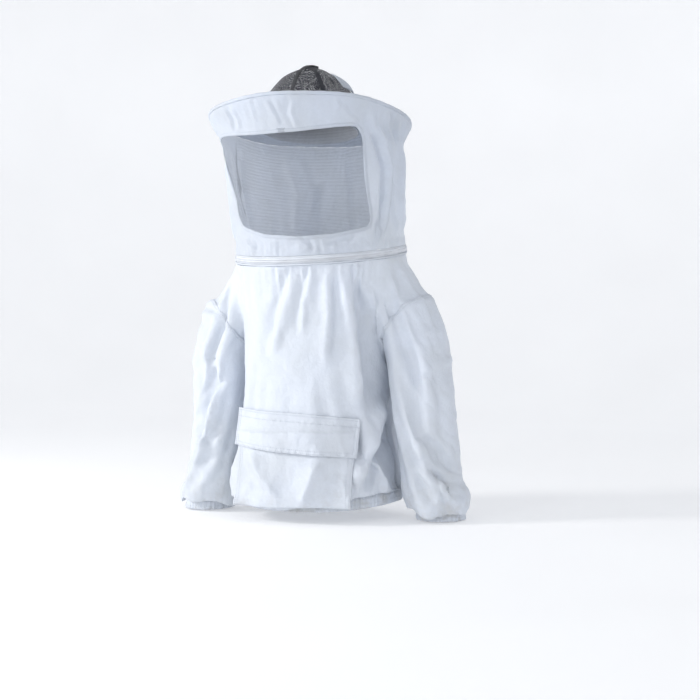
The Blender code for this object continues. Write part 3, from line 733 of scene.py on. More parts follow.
def thick_grid(name, front, back):
    """A closed sheet between two grids of points."""
    rows, columns = front.shape[:2]
    depth = rows * columns
    faces = grid_faces(rows, columns) + [tuple(reversed(f)) for f in grid_faces(rows, columns, base=depth)]
    rim = [k for k in range(columns)] + [r * columns + columns - 1 for r in range(1, rows)]
    rim += [(rows - 1) * columns + k for k in reversed(range(columns - 1))]
    rim += [r * columns for r in reversed(range(1, rows - 1))]
    for a, b in zip(rim, rim[1:] + rim[:1]):
        faces.append((b, a, a + depth, b + depth))
    obj = new_mesh(name, np.vstack([front.reshape(-1, 3), back.reshape(-1, 3)]), faces)
    outward(obj)
    return obj


def turned(name, rings, close_section=True):
    """A ring from rows of cross-section points, one row per step round it."""
    rings = np.array(rings, float)
    count, size = rings.shape[:2]
    faces = []
    for i in range(count):
        j = (i + 1) % count
        for k in range(size if close_section else size - 1):
            m = (k + 1) % size
            faces.append((i * size + k, j * size + k, j * size + m, i * size + m))
    obj = new_mesh(name, rings.reshape(-1, 3), faces)
    outward(obj)
    return obj


# --- the hem and cuffs -----------------------------------------------------------------------
BAND_SECTION = [(0.0, 0.0), (0.0008, -0.0012), (0.0011, -0.30), (0.0007, -0.62), (0.0010, -0.90),
                (0.0002, -1.0),
                (-0.0020, -1.0), (-0.0026, -0.90), (-0.0026, -0.05), (-0.0015, 0.0006)]


def gathered_band(name, centre, across, depth, power, top, low, ripples, seed, count, rise=0.0):
    """A casing drawn in by its elastic: fine uneven pleats, with two sewn rows."""
    place = np.arange(count) / count
    wave = pleats(place, seed, ripples)
    builder_rows = []
    for i in range(count):
        turn = 2 * math.pi * (i + 0.5) / count
        s, c = math.sin(turn), math.cos(turn)
        x = across * math.copysign(abs(s) ** (2 / power), s)
        y = -depth * math.copysign(abs(c) ** (2 / power), c)
        n = Vector((x / across ** 2, y / depth ** 2, 0)).normalized()
        row = []
        for out, share in BAND_SECTION:
            z = top + (top - low) * share if share <= 0 else top + share
            z += rise * s ** 2
            pinch = 0.45 if share in (-0.30, -0.62) else 1.0
            swell = (0.0016 if share > -0.95 else 0.0011) * wave[i] * pinch
            row.append((centre[0] + x + n.x * (out + swell), centre[1] + y + n.y * (out + swell),
                        z + 0.0009 * wave[(i * 3) % count] * (1 if share < -0.8 else 0)))
        builder_rows.append(row)
    return turned(name, builder_rows)


def band_rows(centre, across, depth, power, z, count=160, rise=0.0):
    """A path round a band, with its outward normals."""
    path, normals = [], []
    for i in range(count):
        turn = 2 * math.pi * (i + 0.5) / count
        s, c = math.sin(turn), math.cos(turn)
        x = across * math.copysign(abs(s) ** (2 / power), s)
        y = -depth * math.copysign(abs(c) ** (2 / power), c)
        path.append(Vector((centre[0] + x, centre[1] + y, z + rise * s ** 2)))
        normals.append(Vector((x / across ** 2, y / depth ** 2, 0)).normalized())
    return path, normals


# --- the veil ---------------------------------------------------------------------------------
# share of the way down from brim to zip, radius
VEIL = [(0.0, 0.1782), (0.05, 0.1716), (0.11, 0.1628), (0.20, 0.1575), (0.48, 0.1510), (0.75, 0.1490),
        (1.0, 0.1525)]
VEIL_RADIUS, VEIL_DROP = 0.151, 0.215       # used to measure along the cloth
VEIL_COLUMNS, VEIL_ROWS = 128, 32
WINDOW_CORNER = 0.020


def brim_wave(turn, radius):
    """How far the brim's edge rises and dips round its rim."""
    rise = 0.0016 * np.sin(2 * turn + 0.5) + 0.0012 * np.sin(3 * turn - 1.1) + 0.0008 * np.sin(7 * turn + 2.0)
    return rise * smooth(0.095, 0.178, radius)


def veil_base(turn, share, out=0.0):
    fine = np.linspace(-0.1, 1.1, 241)
    radii = np.interp(fine, [row[0] for row in VEIL], [row[1] for row in VEIL])
    radii = np.convolve(np.pad(radii, 8, mode="edge"), np.ones(17) / 17, mode="valid")
    r = np.interp(share, fine, radii) + out
    tilt = np.radians(mix(5.0, -9.5, share))
    top = np.array([0, BRIM_Y, BRIM_Z - 0.0035])
    low = np.array(NECK_FRAME @ Vector((0, 0, 0.0085)))
    centre = top + (low - top) * np.asarray(share)[..., None]
    ring = np.stack([r * np.sin(turn), -r * np.cos(turn) * np.cos(tilt), r * np.cos(turn) * np.sin(tilt)], -1)
    ring[..., 2] += brim_wave(turn, 0.178) * smooth(0.25, 0.0, share)
    return centre + ring


def cubic_weights(f):
    return [-0.5 * f + f ** 2 - 0.5 * f ** 3, 1 - 2.5 * f ** 2 + 1.5 * f ** 3,
            0.5 * f + 2 * f ** 2 - 1.5 * f ** 3, -0.5 * f ** 2 + 0.5 * f ** 3]


def cubic(grid, row, column):
    """Smoothly samples a grid of vectors that wraps round in its columns."""
    rows, columns = grid.shape[:2]
    i, j = np.floor(row).astype(int), np.floor(column).astype(int)
    wr, wc = cubic_weights(row - i), cubic_weights(column - j)
    total = 0
    for a in range(4):
        for b in range(4):
            part = grid[np.clip(i + a - 1, 0, rows - 1), (j + b - 1) % columns]
            total = total + part * (wr[a] * wc[b])[..., None]
    return total


def fallen_veil():
    """How far each point of the veil moves from its drawn place when its extra cloth settles."""
    turns = np.arange(VEIL_COLUMNS) / VEIL_COLUMNS * 2 * math.pi - math.pi
    shares = np.linspace(0, 1, VEIL_ROWS)
    turn, share = np.meshgrid(turns, shares)
    base = veil_base(turn, share)
    obj = grid_mesh("veil", base, wrap=True)
    row = np.repeat(np.arange(VEIL_ROWS), VEIL_COLUMNS)
    pin = ((row == 0) | (row == VEIL_ROWS - 1)).astype(float)
    simulate(obj, pin, np.ones(len(pin)), 30, 0.045, bending=2.0)
    moved = coords(obj).reshape(VEIL_ROWS, VEIL_COLUMNS, 3) - base
    remove(obj)
    return moved


# Folds of the veil: a line of (turn in degrees, share), half width, height, side of the hollow.
VEIL_FOLDS = [
    ([(64, 0.08), (74, 0.31), (78, 0.40), (76, 0.57), (71, 0.78), (63, 1.0)], 0.0070, 0.0115, -1),
    ([(66, 0.50), (67.5, 0.72), (62, 1.0)], 0.0032, 0.0052, 1),
    ([(92, 0.10), (101, 0.36), (96, 0.62), (101, 0.93)], 0.0100, 0.0110, 1),
    ([(84, 0.42), (82, 0.66), (88, 0.93)], 0.0060, 0.0070, 1),
    ([(56, 0.03), (64, 0.16), (78, 0.26)], 0.0060, 0.0050, -1),
    ([(70, 0.01), (74, 0.11), (84, 0.22)], 0.0050, 0.0050, 1),
    ([(82, 0.01), (85, 0.10), (92, 0.20)], 0.0045, 0.0042, -1),
    ([(94, 0.01), (95, 0.12), (101, 0.22)], 0.0050, 0.0045, 1),
    ([(-66, 0.01), (-63, 0.08), (-65, 0.135)], 0.0032, 0.0038, 1),
    ([(-55, 0.01), (-54, 0.09), (-52, 0.145)], 0.0030, 0.0030, -1),
    ([(-33, 0.01), (-32, 0.08), (-34, 0.165)], 0.0030, 0.0042, 1),
    ([(-27, 0.02), (-25, 0.10), (-27, 0.165)], 0.0040, 0.0028, -1),
    ([(-3, 0.01), (1, 0.10), (3, 0.18)], 0.0035, 0.0022, 1),
    ([(14, 0.02), (11, 0.10), (14, 0.18)], 0.0040, 0.0022, -1),
    ([(34, 0.02), (44, 0.10), (53, 0.15)], 0.0050, 0.0030, 1),
    ([(118, 0.08), (112, 0.50), (120, 0.93)], 0.0110, 0.0100, -1),
    ([(148, 0.10), (152, 0.45), (143, 0.95)], 0.0120, 0.0100, 1),
    ([(171, 0.10), (176, 0.60), (172, 0.95)], 0.0110, 0.0080, 1),
    ([(-140, 0.08), (-146, 0.50), (-138, 0.95)], 0.0120, 0.0100, -1),
    ([(-165, 0.35), (-160, 0.65), (-163, 0.96)], 0.0100, 0.0080, 1),
    ([(-104, 0.10), (-97, 0.50), (-102, 0.95)], 0.0100, 0.0090, 1),
    ([(-82, 0.18), (-72, 0.45), (-60, 0.72), (-56, 0.96)], 0.0070, 0.0075, -1),
    ([(-36, 0.88), (-30, 0.93), (-22, 0.99)], 0.0040, 0.0030, 1),
    ([(8, 0.90), (14, 0.94), (10, 0.99)], 0.0045, 0.0025, 1),
    ([(46, 0.88), (38, 0.93), (26, 0.97)], 0.0050, 0.0040, -1),
]
NET_FOLDS = [
    ([(-63, 0.14), (-58, 0.27), (-47, 0.45), (-41, 0.66), (-37, 0.82)], 0.0060, 0.0050, 1),
    ([(-28, 0.15), (-36, 0.37), (-38, 0.59), (-30, 0.80)], 0.0060, 0.0050, -1),
    ([(44, 0.17), (40, 0.40), (48, 0.62)], 0.0080, 0.0040, 1),
    ([(5, 0.16), (2, 0.35)], 0.0090, 0.0025, 1),
]


def on_cloth(turn, share):
    return np.stack([np.asarray(turn) * VEIL_RADIUS, np.asarray(share) * VEIL_DROP], -1)


def fold_heights(turn, share, folds):
    flat = on_cloth(turn, share)
    total = np.zeros(len(flat))
    for line, half, height, hollow in folds:
        path = [(math.radians(t) * VEIL_RADIUS, v * VEIL_DROP) for t, v in line]
        signed, along = line_distance(flat, path)
        taper = smooth(0, 0.25, along) * smooth(0, 0.2, 1 - along)
        total += height * taper * (np.exp(-(signed / half) ** 2)
                                   - 0.7 * np.exp(-((signed + hollow * 1.6 * half) / half) ** 2))
    return total


class Veil:
    """The settled surface of the veil, sampled by turn (radians) and share of the way down."""

    def __init__(self):
        self.moved = fallen_veil()

    def point(self, turn, share, out=0.0, net=0.0):
        turn, share = np.atleast_1d(np.asarray(turn, float)), np.atleast_1d(np.asarray(share, float))
        column = (turn + math.pi) / (2 * math.pi) * VEIL_COLUMNS
        place = turn / (2 * math.pi) + 0.5
        tucks = 0.0007 * smooth(0.0, 0.02, share) * smooth(0.20, 0.05, share) * pleats(place, 21, 66)
        tucks += 0.0012 * smooth(0.86, 0.97, share) * smooth(1.0, 0.985, share) * pleats(place, 22, 70)
        held = smooth(0.0, 0.03, share) * smooth(1.0, 0.95, share)
        ridges = fold_heights(turn, share, VEIL_FOLDS) * held
        if net:
            ridges = ridges + net * fold_heights(turn, share, NET_FOLDS)
        flat = on_cloth(turn, share)
        dents = np.array([noise.noise(Vector((a * 45, b * 30, 3.0)))
                          + 0.6 * noise.noise(Vector((a * 95, b * 80, 8.0)))
                          for a, b in flat])
        out = out + tucks + ridges + 0.0011 * dents * held
        return veil_base(turn, share, out) + cubic(self.moved, share * (VEIL_ROWS - 1), column)

    def normal(self, turn, share):
        turn, share = np.atleast_1d(np.asarray(turn, float)), np.atleast_1d(np.asarray(share, float))
        a = self.point(turn + 0.012, share) - self.point(turn - 0.012, share)
        b = self.point(turn, np.minimum(share + 0.008, 1)) - self.point(turn, np.maximum(share - 0.008, 0))
        n = np.cross(b, a)
        return n / np.linalg.norm(n, axis=1)[:, None]


def window_distance(turn, share):
    """Distance in metres from the netting window's edge, below zero inside it."""
    degrees = np.degrees(turn)
    left = np.interp(share, [0.15, 0.35, 0.60, 0.90], [-66, -60, -47, -40])
    right = np.interp(share, [0.15, 0.50, 0.90], [55, 57, 61])
    top = 0.200 - 0.060 * smooth(5, 65, np.abs(degrees + 2))
    low = np.interp(degrees, [-60, -40, -15, 10, 30, 50, 70], [0.78, 0.800, 0.865, 0.885, 0.88, 0.85, 0.83])
    across = np.maximum(left - degrees, degrees - right) * math.pi / 180 * VEIL_RADIUS + WINDOW_CORNER
    along = np.maximum(top - share, share - low) * VEIL_DROP + WINDOW_CORNER
    outside = np.hypot(np.maximum(across, 0), np.maximum(along, 0))
    return outside + np.minimum(np.maximum(across, along), 0) - WINDOW_CORNER


def window_path(count=260):
    """(turn, share) round the window's edge."""
    centre = np.array([math.radians(2) * VEIL_RADIUS, 0.52 * VEIL_DROP])
    path = []
    for i in range(count):
        a = 2 * math.pi * i / count
        ray = np.array([math.cos(a), math.sin(a)])
        low, high = 0.0, 0.30
        for _ in range(30):
            mid = (low + high) / 2
            u, v = centre + ray * mid
            inside = window_distance(np.array([u / VEIL_RADIUS]), np.array([v / VEIL_DROP]))[0] < 0
            low, high = (mid, high) if inside else (low, mid)
        u, v = centre + ray * low
        path.append((u / VEIL_RADIUS, v / VEIL_DROP))
    return np.array(path)


def kept_grid(turn, share, value, wrap):
    """The part of a grid where value is above 0, cut cleanly along its edge: (turn, share) points and faces."""
    rows, columns = turn.shape
    points, index = [], {}

    def corner(k, i):
        key = (k, i % columns if wrap else i)
        if key not in index:
            index[key] = len(points)
            points.append((turn[key], share[key]))
        return index[key]

    def crossing(a, b):
        ka = (a[0], a[1] % columns) if wrap else a
        kb = (b[0], b[1] % columns) if wrap else b
        key = (min(ka, kb), max(ka, kb))
        if key not in index:
            f = value[ka] / (value[ka] - value[kb])
            index[key] = len(points)
            points.append((turn[ka] + (turn[kb] - turn[ka]) * f, share[ka] + (share[kb] - share[ka]) * f))
        return index[key]

    faces = []
    for k in range(rows - 1):
        for i in range(columns if wrap else columns - 1):
            square = [(k, i), (k, i + 1), (k + 1, i + 1), (k + 1, i)]
            signs = [value[c[0], c[1] % columns] > 0 for c in square]
            if all(signs):
                faces.append(tuple(corner(*c) for c in square))
            elif any(signs):
                face = []
                for a, b, sa, sb in zip(square, square[1:] + square[:1], signs, signs[1:] + signs[:1]):
                    if sa:
                        face.append(corner(*a))
                    if sa != sb:
                        face.append(crossing(a, b))
                if len(face) >= 3:
                    faces.append(tuple(face))
    return np.array(points), faces


def net_map(obj, u, v):
    """Stores metres along the netting's threads, for its weave."""
    for name, values in (("net_u", u), ("net_v", v)):
        layer = obj.data.attributes.new(name, "FLOAT", "POINT")
        layer.data.foreach_set("value", np.asarray(values, np.float32))


def make_veil(veil):
    turns = np.arange(336) / 336 * 2 * math.pi - math.pi
    shares = np.linspace(0, 1, 100)
    turn, share = np.meshgrid(turns, shares)
    flat, faces = kept_grid(turn, share, window_distance(turn, share), wrap=True)
    cotton = new_mesh("veil_cotton", veil.point(flat[:, 0], flat[:, 1]), faces)
    turns = np.radians(np.linspace(-72, 66, 190))
    shares = np.linspace(0.11, 0.92, 110)
    turn, share = np.meshgrid(turns, shares)
    flat, faces = kept_grid(turn, share, 0.0035 - window_distance(turn, share), wrap=False)
    inset = np.where(window_distance(flat[:, 0], flat[:, 1]) > -0.004, -0.0006, -0.0010)
    netting = new_mesh("window_netting", veil.point(flat[:, 0], flat[:, 1], inset, net=1.0), faces)
    net_map(netting, flat[:, 0] * VEIL_RADIUS, flat[:, 1] * VEIL_DROP)
    edge = window_path()
    path, normals = veil.point(edge[:, 0], edge[:, 1]), veil.normal(edge[:, 0], edge[:, 1])
    binding, thread = Builder(), Builder()
    strip(binding, path, normals, 0.0060, 0.0007, closed=True, step=0.003)
    for offset in (-0.0020, 0.0020):
        stitches(thread, path, normals, offset, lift=0.0008, closed=True, thick=0.00035)
    return cotton, netting, binding.make("window_binding"), thread.make("window_stitches")


# --- the brim, hat band and crown --------------------------------------------------------------
def brim_point(turn, radius, lift):
    return BRIM_FRAME @ Vector((radius * math.sin(turn), -radius * math.cos(turn), lift))


def brim_drop(radius):
    """The brim droops from the hat band to its edge."""
    return 0.006 * float(smooth(0.176, 0.0915, radius))


def brim_cloth(name, lift, pucker, seed, seam_pinch):
    turns = (np.arange(300) + 0.5) / 300 * 2 * math.pi - math.pi
    wave = pleats(turns / (2 * math.pi) + 0.5, seed, 96)
    radii = [0.0915, 0.0935, 0.097, 0.103, 0.110, 0.118, 0.126, 0.134, 0.142, 0.150, 0.157, 0.163, 0.168,
             0.172,
             0.1755]
    rows = []
    for radius in radii:
        held = float(smooth(0.0915, 0.098, radius) * smooth(0.1755, 0.169, radius))
        pinch = 1 - seam_pinch * max(math.exp(-((radius - r) / 0.0022) ** 2) for r in BRIM_ROWS)
        row = []
        for turn, ripple in zip(turns, wave):
            dent = noise.noise(Vector((radius * 40, math.sin(turn) * 6, math.cos(turn) * 6 + seed)))
            z = lift + brim_drop(radius) + float(brim_wave(turn, radius)) \
                + held * pinch * (pucker * ripple + 0.0010 * dent)
            row.append(tuple(brim_point(turn, radius, z)))
        rows.append(row)
    return grid_mesh(name, np.array(rows), wrap=True)


BRIM_ROWS = (0.0985, 0.1110, 0.1240, 0.1370, 0.1500, 0.1640)


def make_brim():
    top = brim_cloth("brim_top", 0.0028, 0.0006, 31, 0.8)
    under = brim_cloth("brim_under", -0.0026, -0.0010, 32, 0.8)
    outward(top)
    outward(under)
    rings, count = [], 320
    for i in range(count):
        turn = 2 * math.pi * i / count
        pinch = 1 + 0.10 * math.sin(41 * turn) + 0.06 * math.sin(97 * turn + 1)
        lift = float(brim_wave(turn, 0.178))
        ring = []
        for k in range(12):
            a = 2 * math.pi * k / 12
            ring.append(tuple(brim_point(turn, 0.1764 + 0.0026 * math.cos(a),
                                         lift + 0.0031 * pinch * math.sin(a))))
        rings.append(ring)
    edge = turned("brim_edge", rings)
    thread = Builder()
    for face, sign, lift in ((top, 1, 0.0033), (under, -1, -0.0031)):
        for radius in BRIM_ROWS[:1] + BRIM_ROWS[2::2]:
            turns = 2 * math.pi * (np.arange(360) + 0.5) / 360
            path = [brim_point(t, radius, lift + brim_drop(radius) + float(brim_wave(t, radius)))
                    for t in turns]
            normals = [BRIM_FRAME.to_3x3() @ Vector((0, 0, sign))] * len(path)
            stitches(thread, path, normals, lift=0.0, pitch=0.0042, length=0.0030, closed=True)
    path = [brim_point(2 * math.pi * i / 360, 0.1738, 0.0034 + float(brim_wave(2 * math.pi * i / 360, 0.174)))
            for i in range(360)]
    stitches(thread, path, [BRIM_FRAME.to_3x3() @ Vector((0, 0, 1))] * 360, lift=0.0, closed=True)
    return top, under, edge, thread.make("brim_stitches")


# share of the crown's height, share of its radius
CROWN = [(0.0, 1.0), (0.10, 0.992), (0.2, 0.975), (0.32, 0.93), (0.42, 0.865), (0.52, 0.785), (0.62, 0.695),
         (0.72, 0.60), (0.80, 0.49), (0.87, 0.38), (0.93, 0.26), (0.97, 0.155), (0.99, 0.07)]


def crown_point(turn, share, out=0.0):
    """A point of the crown's netting; share runs from the hat band to the top."""
    height = 0.0095 + share * (CROWN_H - 0.0095)
    r = CROWN_R * float(np.interp(share, [c[0] for c in CROWN], [c[1] for c in CROWN]))
    ridge = 0.0035 * math.exp(-(math.sin(turn) * r / 0.009) ** 2) * smooth(0.3, 0.9, share)
    dent = noise.noise(Vector((math.sin(turn) * 2.2, math.cos(turn) * 2.2, share * 2.6 + 5)))
    gather = 0.0013 * math.sin(34 * turn + 3 * math.sin(2 * turn)) * float(smooth(0.55, 0.0, share)) \
        * float(smooth(0.0, 0.05, share))
    r = max(r + out + gather + 0.0030 * dent * float(smooth(0, 0.2, share) * smooth(1.0, 0.8, share)), 0.001)
    return brim_point(turn, r, height + float(ridge) + 0.0016 * dent * float(smooth(0.3, 0.9, share)))


def crown_seam(turn, low=0.0, high=0.985, count=60):
    path = [crown_point(turn, mix(low, high, k / (count - 1)), 0.0004) for k in range(count)]
    top = BRIM_FRAME @ Vector((0, 0, 0.03))
    return path, [(p - top).normalized() for p in path]


def make_crown():
    shares = [float(np.interp(k / 40, [0, 0.5, 0.8, 1], [0, 0.5, 0.86, 0.99])) for k in range(41)]
    columns = 144
    rows, u, v = [], [], []
    for share in shares:
        row = []
        for i in range(columns):
            turn = 2 * math.pi * i / columns
            p = crown_point(turn, share)
            row.append(tuple(p))
            local = BRIM_FRAME.inverted() @ p
            side = 1 if math.sin(turn) >= 0 else -1
            lean = share * 0.055
            u.append(local.y)
            v.append(side * (local.x * side * 0.45 + local.z * 0.9 + lean))
        rows.append(row)
    netting = grid_mesh("crown_netting", np.array(rows), wrap=True)
    outward(netting)
    net_map(netting, u, v)
    tape, thread = Builder(), Builder()
    for turn in (0.0, math.pi):
        path, normals = crown_seam(turn)
        strip(tape, path, normals, 0.0075, 0.0011, step=0.003)
        for offset in (-0.0024, 0.0024):
            stitches(thread, path, normals, offset, lift=0.0013)
    cap = []
    for k in range(7):
        r = 0.0112 * math.sin(math.pi / 2 * (1 - k / 6)) + 0.0004
        cap.append([tuple(brim_point(2 * math.pi * i / 28,
                                     r * (1 + 0.05 * math.sin(5 * 2 * math.pi * i / 28)),
                                     CROWN_H + 0.0028 + 0.0014 * math.sin(math.pi / 2 * k / 6))) for i in range(28)])
    low = [[tuple(brim_point(2 * math.pi * i / 28, 0.0106, CROWN_H + 0.0008)) for i in range(28)]]
    patch = loft("crown_cap", [[Vector(p) for p in ring] for ring in low + cap])
    return netting, tape.make("crown_seam_tapes"), thread.make("crown_stitches"), patch


def make_tab():
    """The folded cotton tab sewn to the side of the crown."""
    front, back = [], []
    for k in range(17):
        v = k / 16
        share = mix(0.46, 0.80, v)
        a, b = [], []
        for i in range(13):
            u = i / 12 - 0.5
            turn = math.radians(86) + u * 0.034 / (CROWN_R * 0.68) * (1 + 0.16 * math.sin(3 * v))
            lift = 0.0030 + 0.0034 * math.sin(math.pi * v) + 0.0014 * math.sin(7 * u + 4 * v)
            a.append(tuple(crown_point(turn, share, lift)))
            b.append(tuple(crown_point(turn, share, lift - 0.0022)))
        front.append(a)
        back.append(b)
    return thick_grid("crown_tab", np.array(front), np.array(back))


def make_bands():
    rings, count = [], 240
    section = [(0.0868, -0.004), (0.0868, 0.0092), (0.0880, 0.0102), (0.0900, 0.0098), (0.0909, 0.0080),
               (0.0911, 0.0050), (0.0908, 0.0034), (0.0900, -0.004)]
    for i in range(count):
        turn = 2 * math.pi * i / count
        ripple = 0.0004 * math.sin(53 * turn) + 0.0003 * math.sin(31 * turn + 1)
        rings.append([tuple(brim_point(turn, r + (ripple if r > 0.089 else 0), z + 0.006)) for r,
                      z in section])
    band = turned("hat_band", rings)
    rings, count = [], 360
    section = [(0.0848, -0.021), (0.0853, -0.022), (0.0860, -0.022), (0.0864, -0.021), (0.0864, 0.006),
               (0.0848, 0.006)]
    for i in range(count):
        turn = 2 * math.pi * i / count
        rib = 0.0005 * (i % 2)
        rings.append([tuple(brim_point(turn, r - rib, z + 0.004)) for r, z in section])
    return band, turned("sweatband", rings)


# --- the neck zip -------------------------------------------------------------------------------
ZIP_HALF = math.radians(150)
SLIDER_TURN = math.radians(144)


def ring_path(radius, lift, half=math.pi, count=240, wave=0.0):
    closed = half >= math.pi
    turns = np.linspace(-half, half, count, endpoint=not closed)
    path = [neck_point(radius + wave * math.sin(23 * t), t, lift) for t in turns]
    out = [NECK_FRAME.to_3x3() @ Vector((math.sin(t), -math.cos(t), 0)) for t in turns]
    return path, out


def zip_tape(name, sign):
    """A woven tape round the neck, from the teeth to where it is sewn to the cloth."""
    rings, count = [], 200
    for i in range(count):
        turn = 2 * math.pi * i / count
        sway = 0.0003 * math.sin(19 * turn)
        section = [(0.1508, 0.0004), (0.1525, 0.0004), (0.1527, 0.0020), (0.1528, 0.0078), (0.1508, 0.0078)]
        rings.append([tuple(neck_point(r + sway, turn, sign * z)) for r, z in section])
    return turned(name, rings)


def zip_teeth(name, sign):
    """One side's row of coil teeth; the two sides interleave across the middle."""
    made = Builder()
    count = 300
    step = 2 * ZIP_HALF / count
    for i in range(count):
        turn = -ZIP_HALF + step * (i + (0.5 if sign > 0 else 0.0))
        points = []
        for lift, wide in ((0.0029, 0.30), (0.0004, 0.34), (-0.0006, 0.44)):
            for r in (0.1528, 0.1546):
                for along in (-1, 1):
                    points.append(neck_point(r, turn + along * step * wide * 0.5, sign * lift))
        faces = []
        for k in (0, 4):
            a, b, c, d = k, k + 1, k + 3, k + 2
            faces += [(a, b, b + 4, a + 4), (b, c, c + 4, b + 4), (c, d, d + 4, c + 4), (d, a, a + 4, d + 4)]
        faces += [(0, 2, 3, 1), (8, 9, 11, 10)]
        made.add(points, faces)
    return made.make(name, smooth_shade=False)


def bevelled_box(name, centre, axes, half, bevel):
    """A box on the given axes with its edges rounded."""
    bm = bmesh.new()
    bmesh.ops.create_cube(bm, size=2.0)
    for v in bm.verts:
        v.co = Vector((v.co.x * half[0], v.co.y * half[1], v.co.z * half[2]))
    bmesh.ops.bevel(bm, geom=bm.edges, offset=bevel, segments=3, affect="EDGES", profile=0.5)
    for v in bm.verts:
        v.co = centre + axes[0] * v.co.x + axes[1] * v.co.y + axes[2] * v.co.z
    obj = new_mesh(name, [], [])
    bm.to_mesh(obj.data)
    bm.free()
    obj.data.shade_smooth()
    return obj


def join(name, objs):
    """Makes one object of several."""
    bm = bmesh.new()
    for obj in objs:
        bm.from_mesh(obj.data)
    made = new_mesh(name, [], [])
    bm.to_mesh(made.data)
    bm.free()
    remove(*objs)
    made.data.shade_smooth()
    return made


def zip_axes(turn):
    out = NECK_FRAME.to_3x3() @ Vector((math.sin(turn), -math.cos(turn), 0))
    up = NECK_FRAME.to_3x3() @ Vector((0, 0, 1))
    return up.cross(out), up, out


def make_slider():
    along, up, out = zip_axes(SLIDER_TURN)
    centre = neck_point(0.1572, SLIDER_TURN, 0)
    body = bevelled_box("slider", centre, (along, up, out), (0.0052, 0.0040, 0.0011), 0.0008)
    wings = [bevelled_box("slider", centre + up * s * 0.0036 - out * 0.0008, (along, up, out),
                          (0.0048, 0.0008, 0.0016), 0.0005) for s in (1, -1)]
    bridge = bevelled_box("slider", centre + out * 0.0016, (along, up, out), (0.0034, 0.0011, 0.0009), 0.0006)
    return join("slider", [body, bridge] + wings)


def make_pull():
    """The flat pull hanging along the zip from the slider, with a ring end and a grip."""
    made = []
    for k in range(9):
        turn = SLIDER_TURN - 0.012 - 0.0175 * (k + 0.5)
        along, up, out = zip_axes(turn)
        wide = float(np.interp(k, [0, 1, 3, 8], [0.0024, 0.0013, 0.0019, 0.0023]))
        made.append(bevelled_box("pull", neck_point(0.1601, turn, 0), (along, up, out),
                                 (0.0016, wide, 0.0006), 0.0004))
    for k in range(4):
        turn = SLIDER_TURN - 0.012 - 0.0175 * (k + 4.5)
        along, up, out = zip_axes(turn)
        made.append(bevelled_box("pull", neck_point(0.1607, turn, 0), (along, up, out),
                                 (0.0004, 0.0016, 0.0004), 0.0002))
    return join("pull", made)


def make_stops():
    made = []
    for sign in (1, -1):
        turn = sign * (ZIP_HALF + 0.012)
        axes = zip_axes(turn)
        made.append(bevelled_box("stop", neck_point(0.1537, turn, 0), axes, (0.0014, 0.0034, 0.0009), 0.0005))
    return join("zip_stops", made)


# --- pouch and flap -------------------------------------------------------------------------------
POUCH_HALF, POUCH_TOP, POUCH_LOW = 0.108, -0.309, -0.437
FLAP_HALF, FLAP_DROP = 0.114, 0.066


def front_surface(objs, xs, zs, ahead):
    """How far forward the given pieces reach at each (x, z) of a grid."""
    bm = bmesh.new()
    for obj in objs:
        bm.from_mesh(obj.data)
    tree = BVHTree.FromBMesh(bm)
    bm.free()
    depth = np.full(xs.shape, np.nan)
    for index in np.ndindex(xs.shape):
        hit = tree.ray_cast(Vector((xs[index], -0.40, zs[index])), Vector((0, 1, 0)))
        if hit[0] is not None and hit[0].y < 0:
            depth[index] = hit[0].y
    depth[np.isnan(depth)] = np.nanmean(depth)
    return depth - ahead


def blurred(grid, times):
    for _ in range(times):
        wide = np.pad(grid, 1, mode="edge")
        grid = 0.25 * (wide[:-2, 1:-1] + wide[2:, 1:-1] + wide[1:-1, :-2] + wide[1:-1, 2:])
    return grid


def eased_over(depth, times, slack):
    """Evens out a surface without letting it sink into what it lies on."""
    soft = depth
    for _ in range(6):
        soft = np.minimum(blurred(soft, times), depth + slack)
    return soft


def make_pouch(body):
    u, v = np.meshgrid(np.linspace(-1, 1, 81), np.linspace(0, 1, 45))
    xs = u * POUCH_HALF * (1 - 0.012 * np.sin(math.pi * v) + 0.010 * v)
    zs = mix(POUCH_TOP, POUCH_LOW, v) + 0.0025 * u * np.abs(u) + 0.0012 * np.sin(5 * u)
    depth = front_surface([body], xs, zs, 0.0)
    rest = eased_over(depth, 6, 0.0)
    held = np.clip(np.minimum((1 - np.abs(u)) / 0.10, (1 - v) / 0.35), 0, 1) ** 0.6
    dents = np.array([noise.noise(Vector((a * 26, b * 26, 4.0)))
                      + 0.5 * noise.noise(Vector((a * 70, b * 60, 7.0)))
                      for a, b in zip(xs.ravel(), zs.ravel())]).reshape(xs.shape)
    gape = 0.004 * smooth(0.35, 0.0, v) * (1 - u ** 2)
    pucker = 0.0007 * np.sin(44 * v) * smooth(0.85, 0.98, np.abs(u))
    lift = 0.0016 + held * (0.0060 + 0.0022 * dents) + gape + pucker
    front = np.stack([xs, rest - lift, zs], -1)
    back = np.stack([xs, rest - lift + 0.0014, zs], -1)
    pouch = thick_grid("pouch", front, back)
    thread = Builder()
    tree = BVHTree.FromObject(pouch, bpy.context.evaluated_depsgraph_get())
    for column, sign in ((0, 1), (80, -1)):
        for inset in (0.0030, 0.0085):
            path = [front[r, column] + np.array([sign * inset, 0, 0]) for r in range(0, 44)]
            points, normals = cast_forward(tree, path)
            stitches(thread, points, normals, lift=0.0003)
    return pouch, thread.make("pouch_stitches")


def cast_forward(tree, path):
    """Moves a path onto the foremost surface, with the surface's normals."""
    points, normals = [], []
    for p in path:
        hit = tree.ray_cast(Vector((p[0], -0.40, p[2])), Vector((0, 1, 0)))
        if hit[0] is not None:
            points.append(hit[0])
            normals.append(hit[1] if hit[1].y < 0 else -hit[1])
    return points, normals


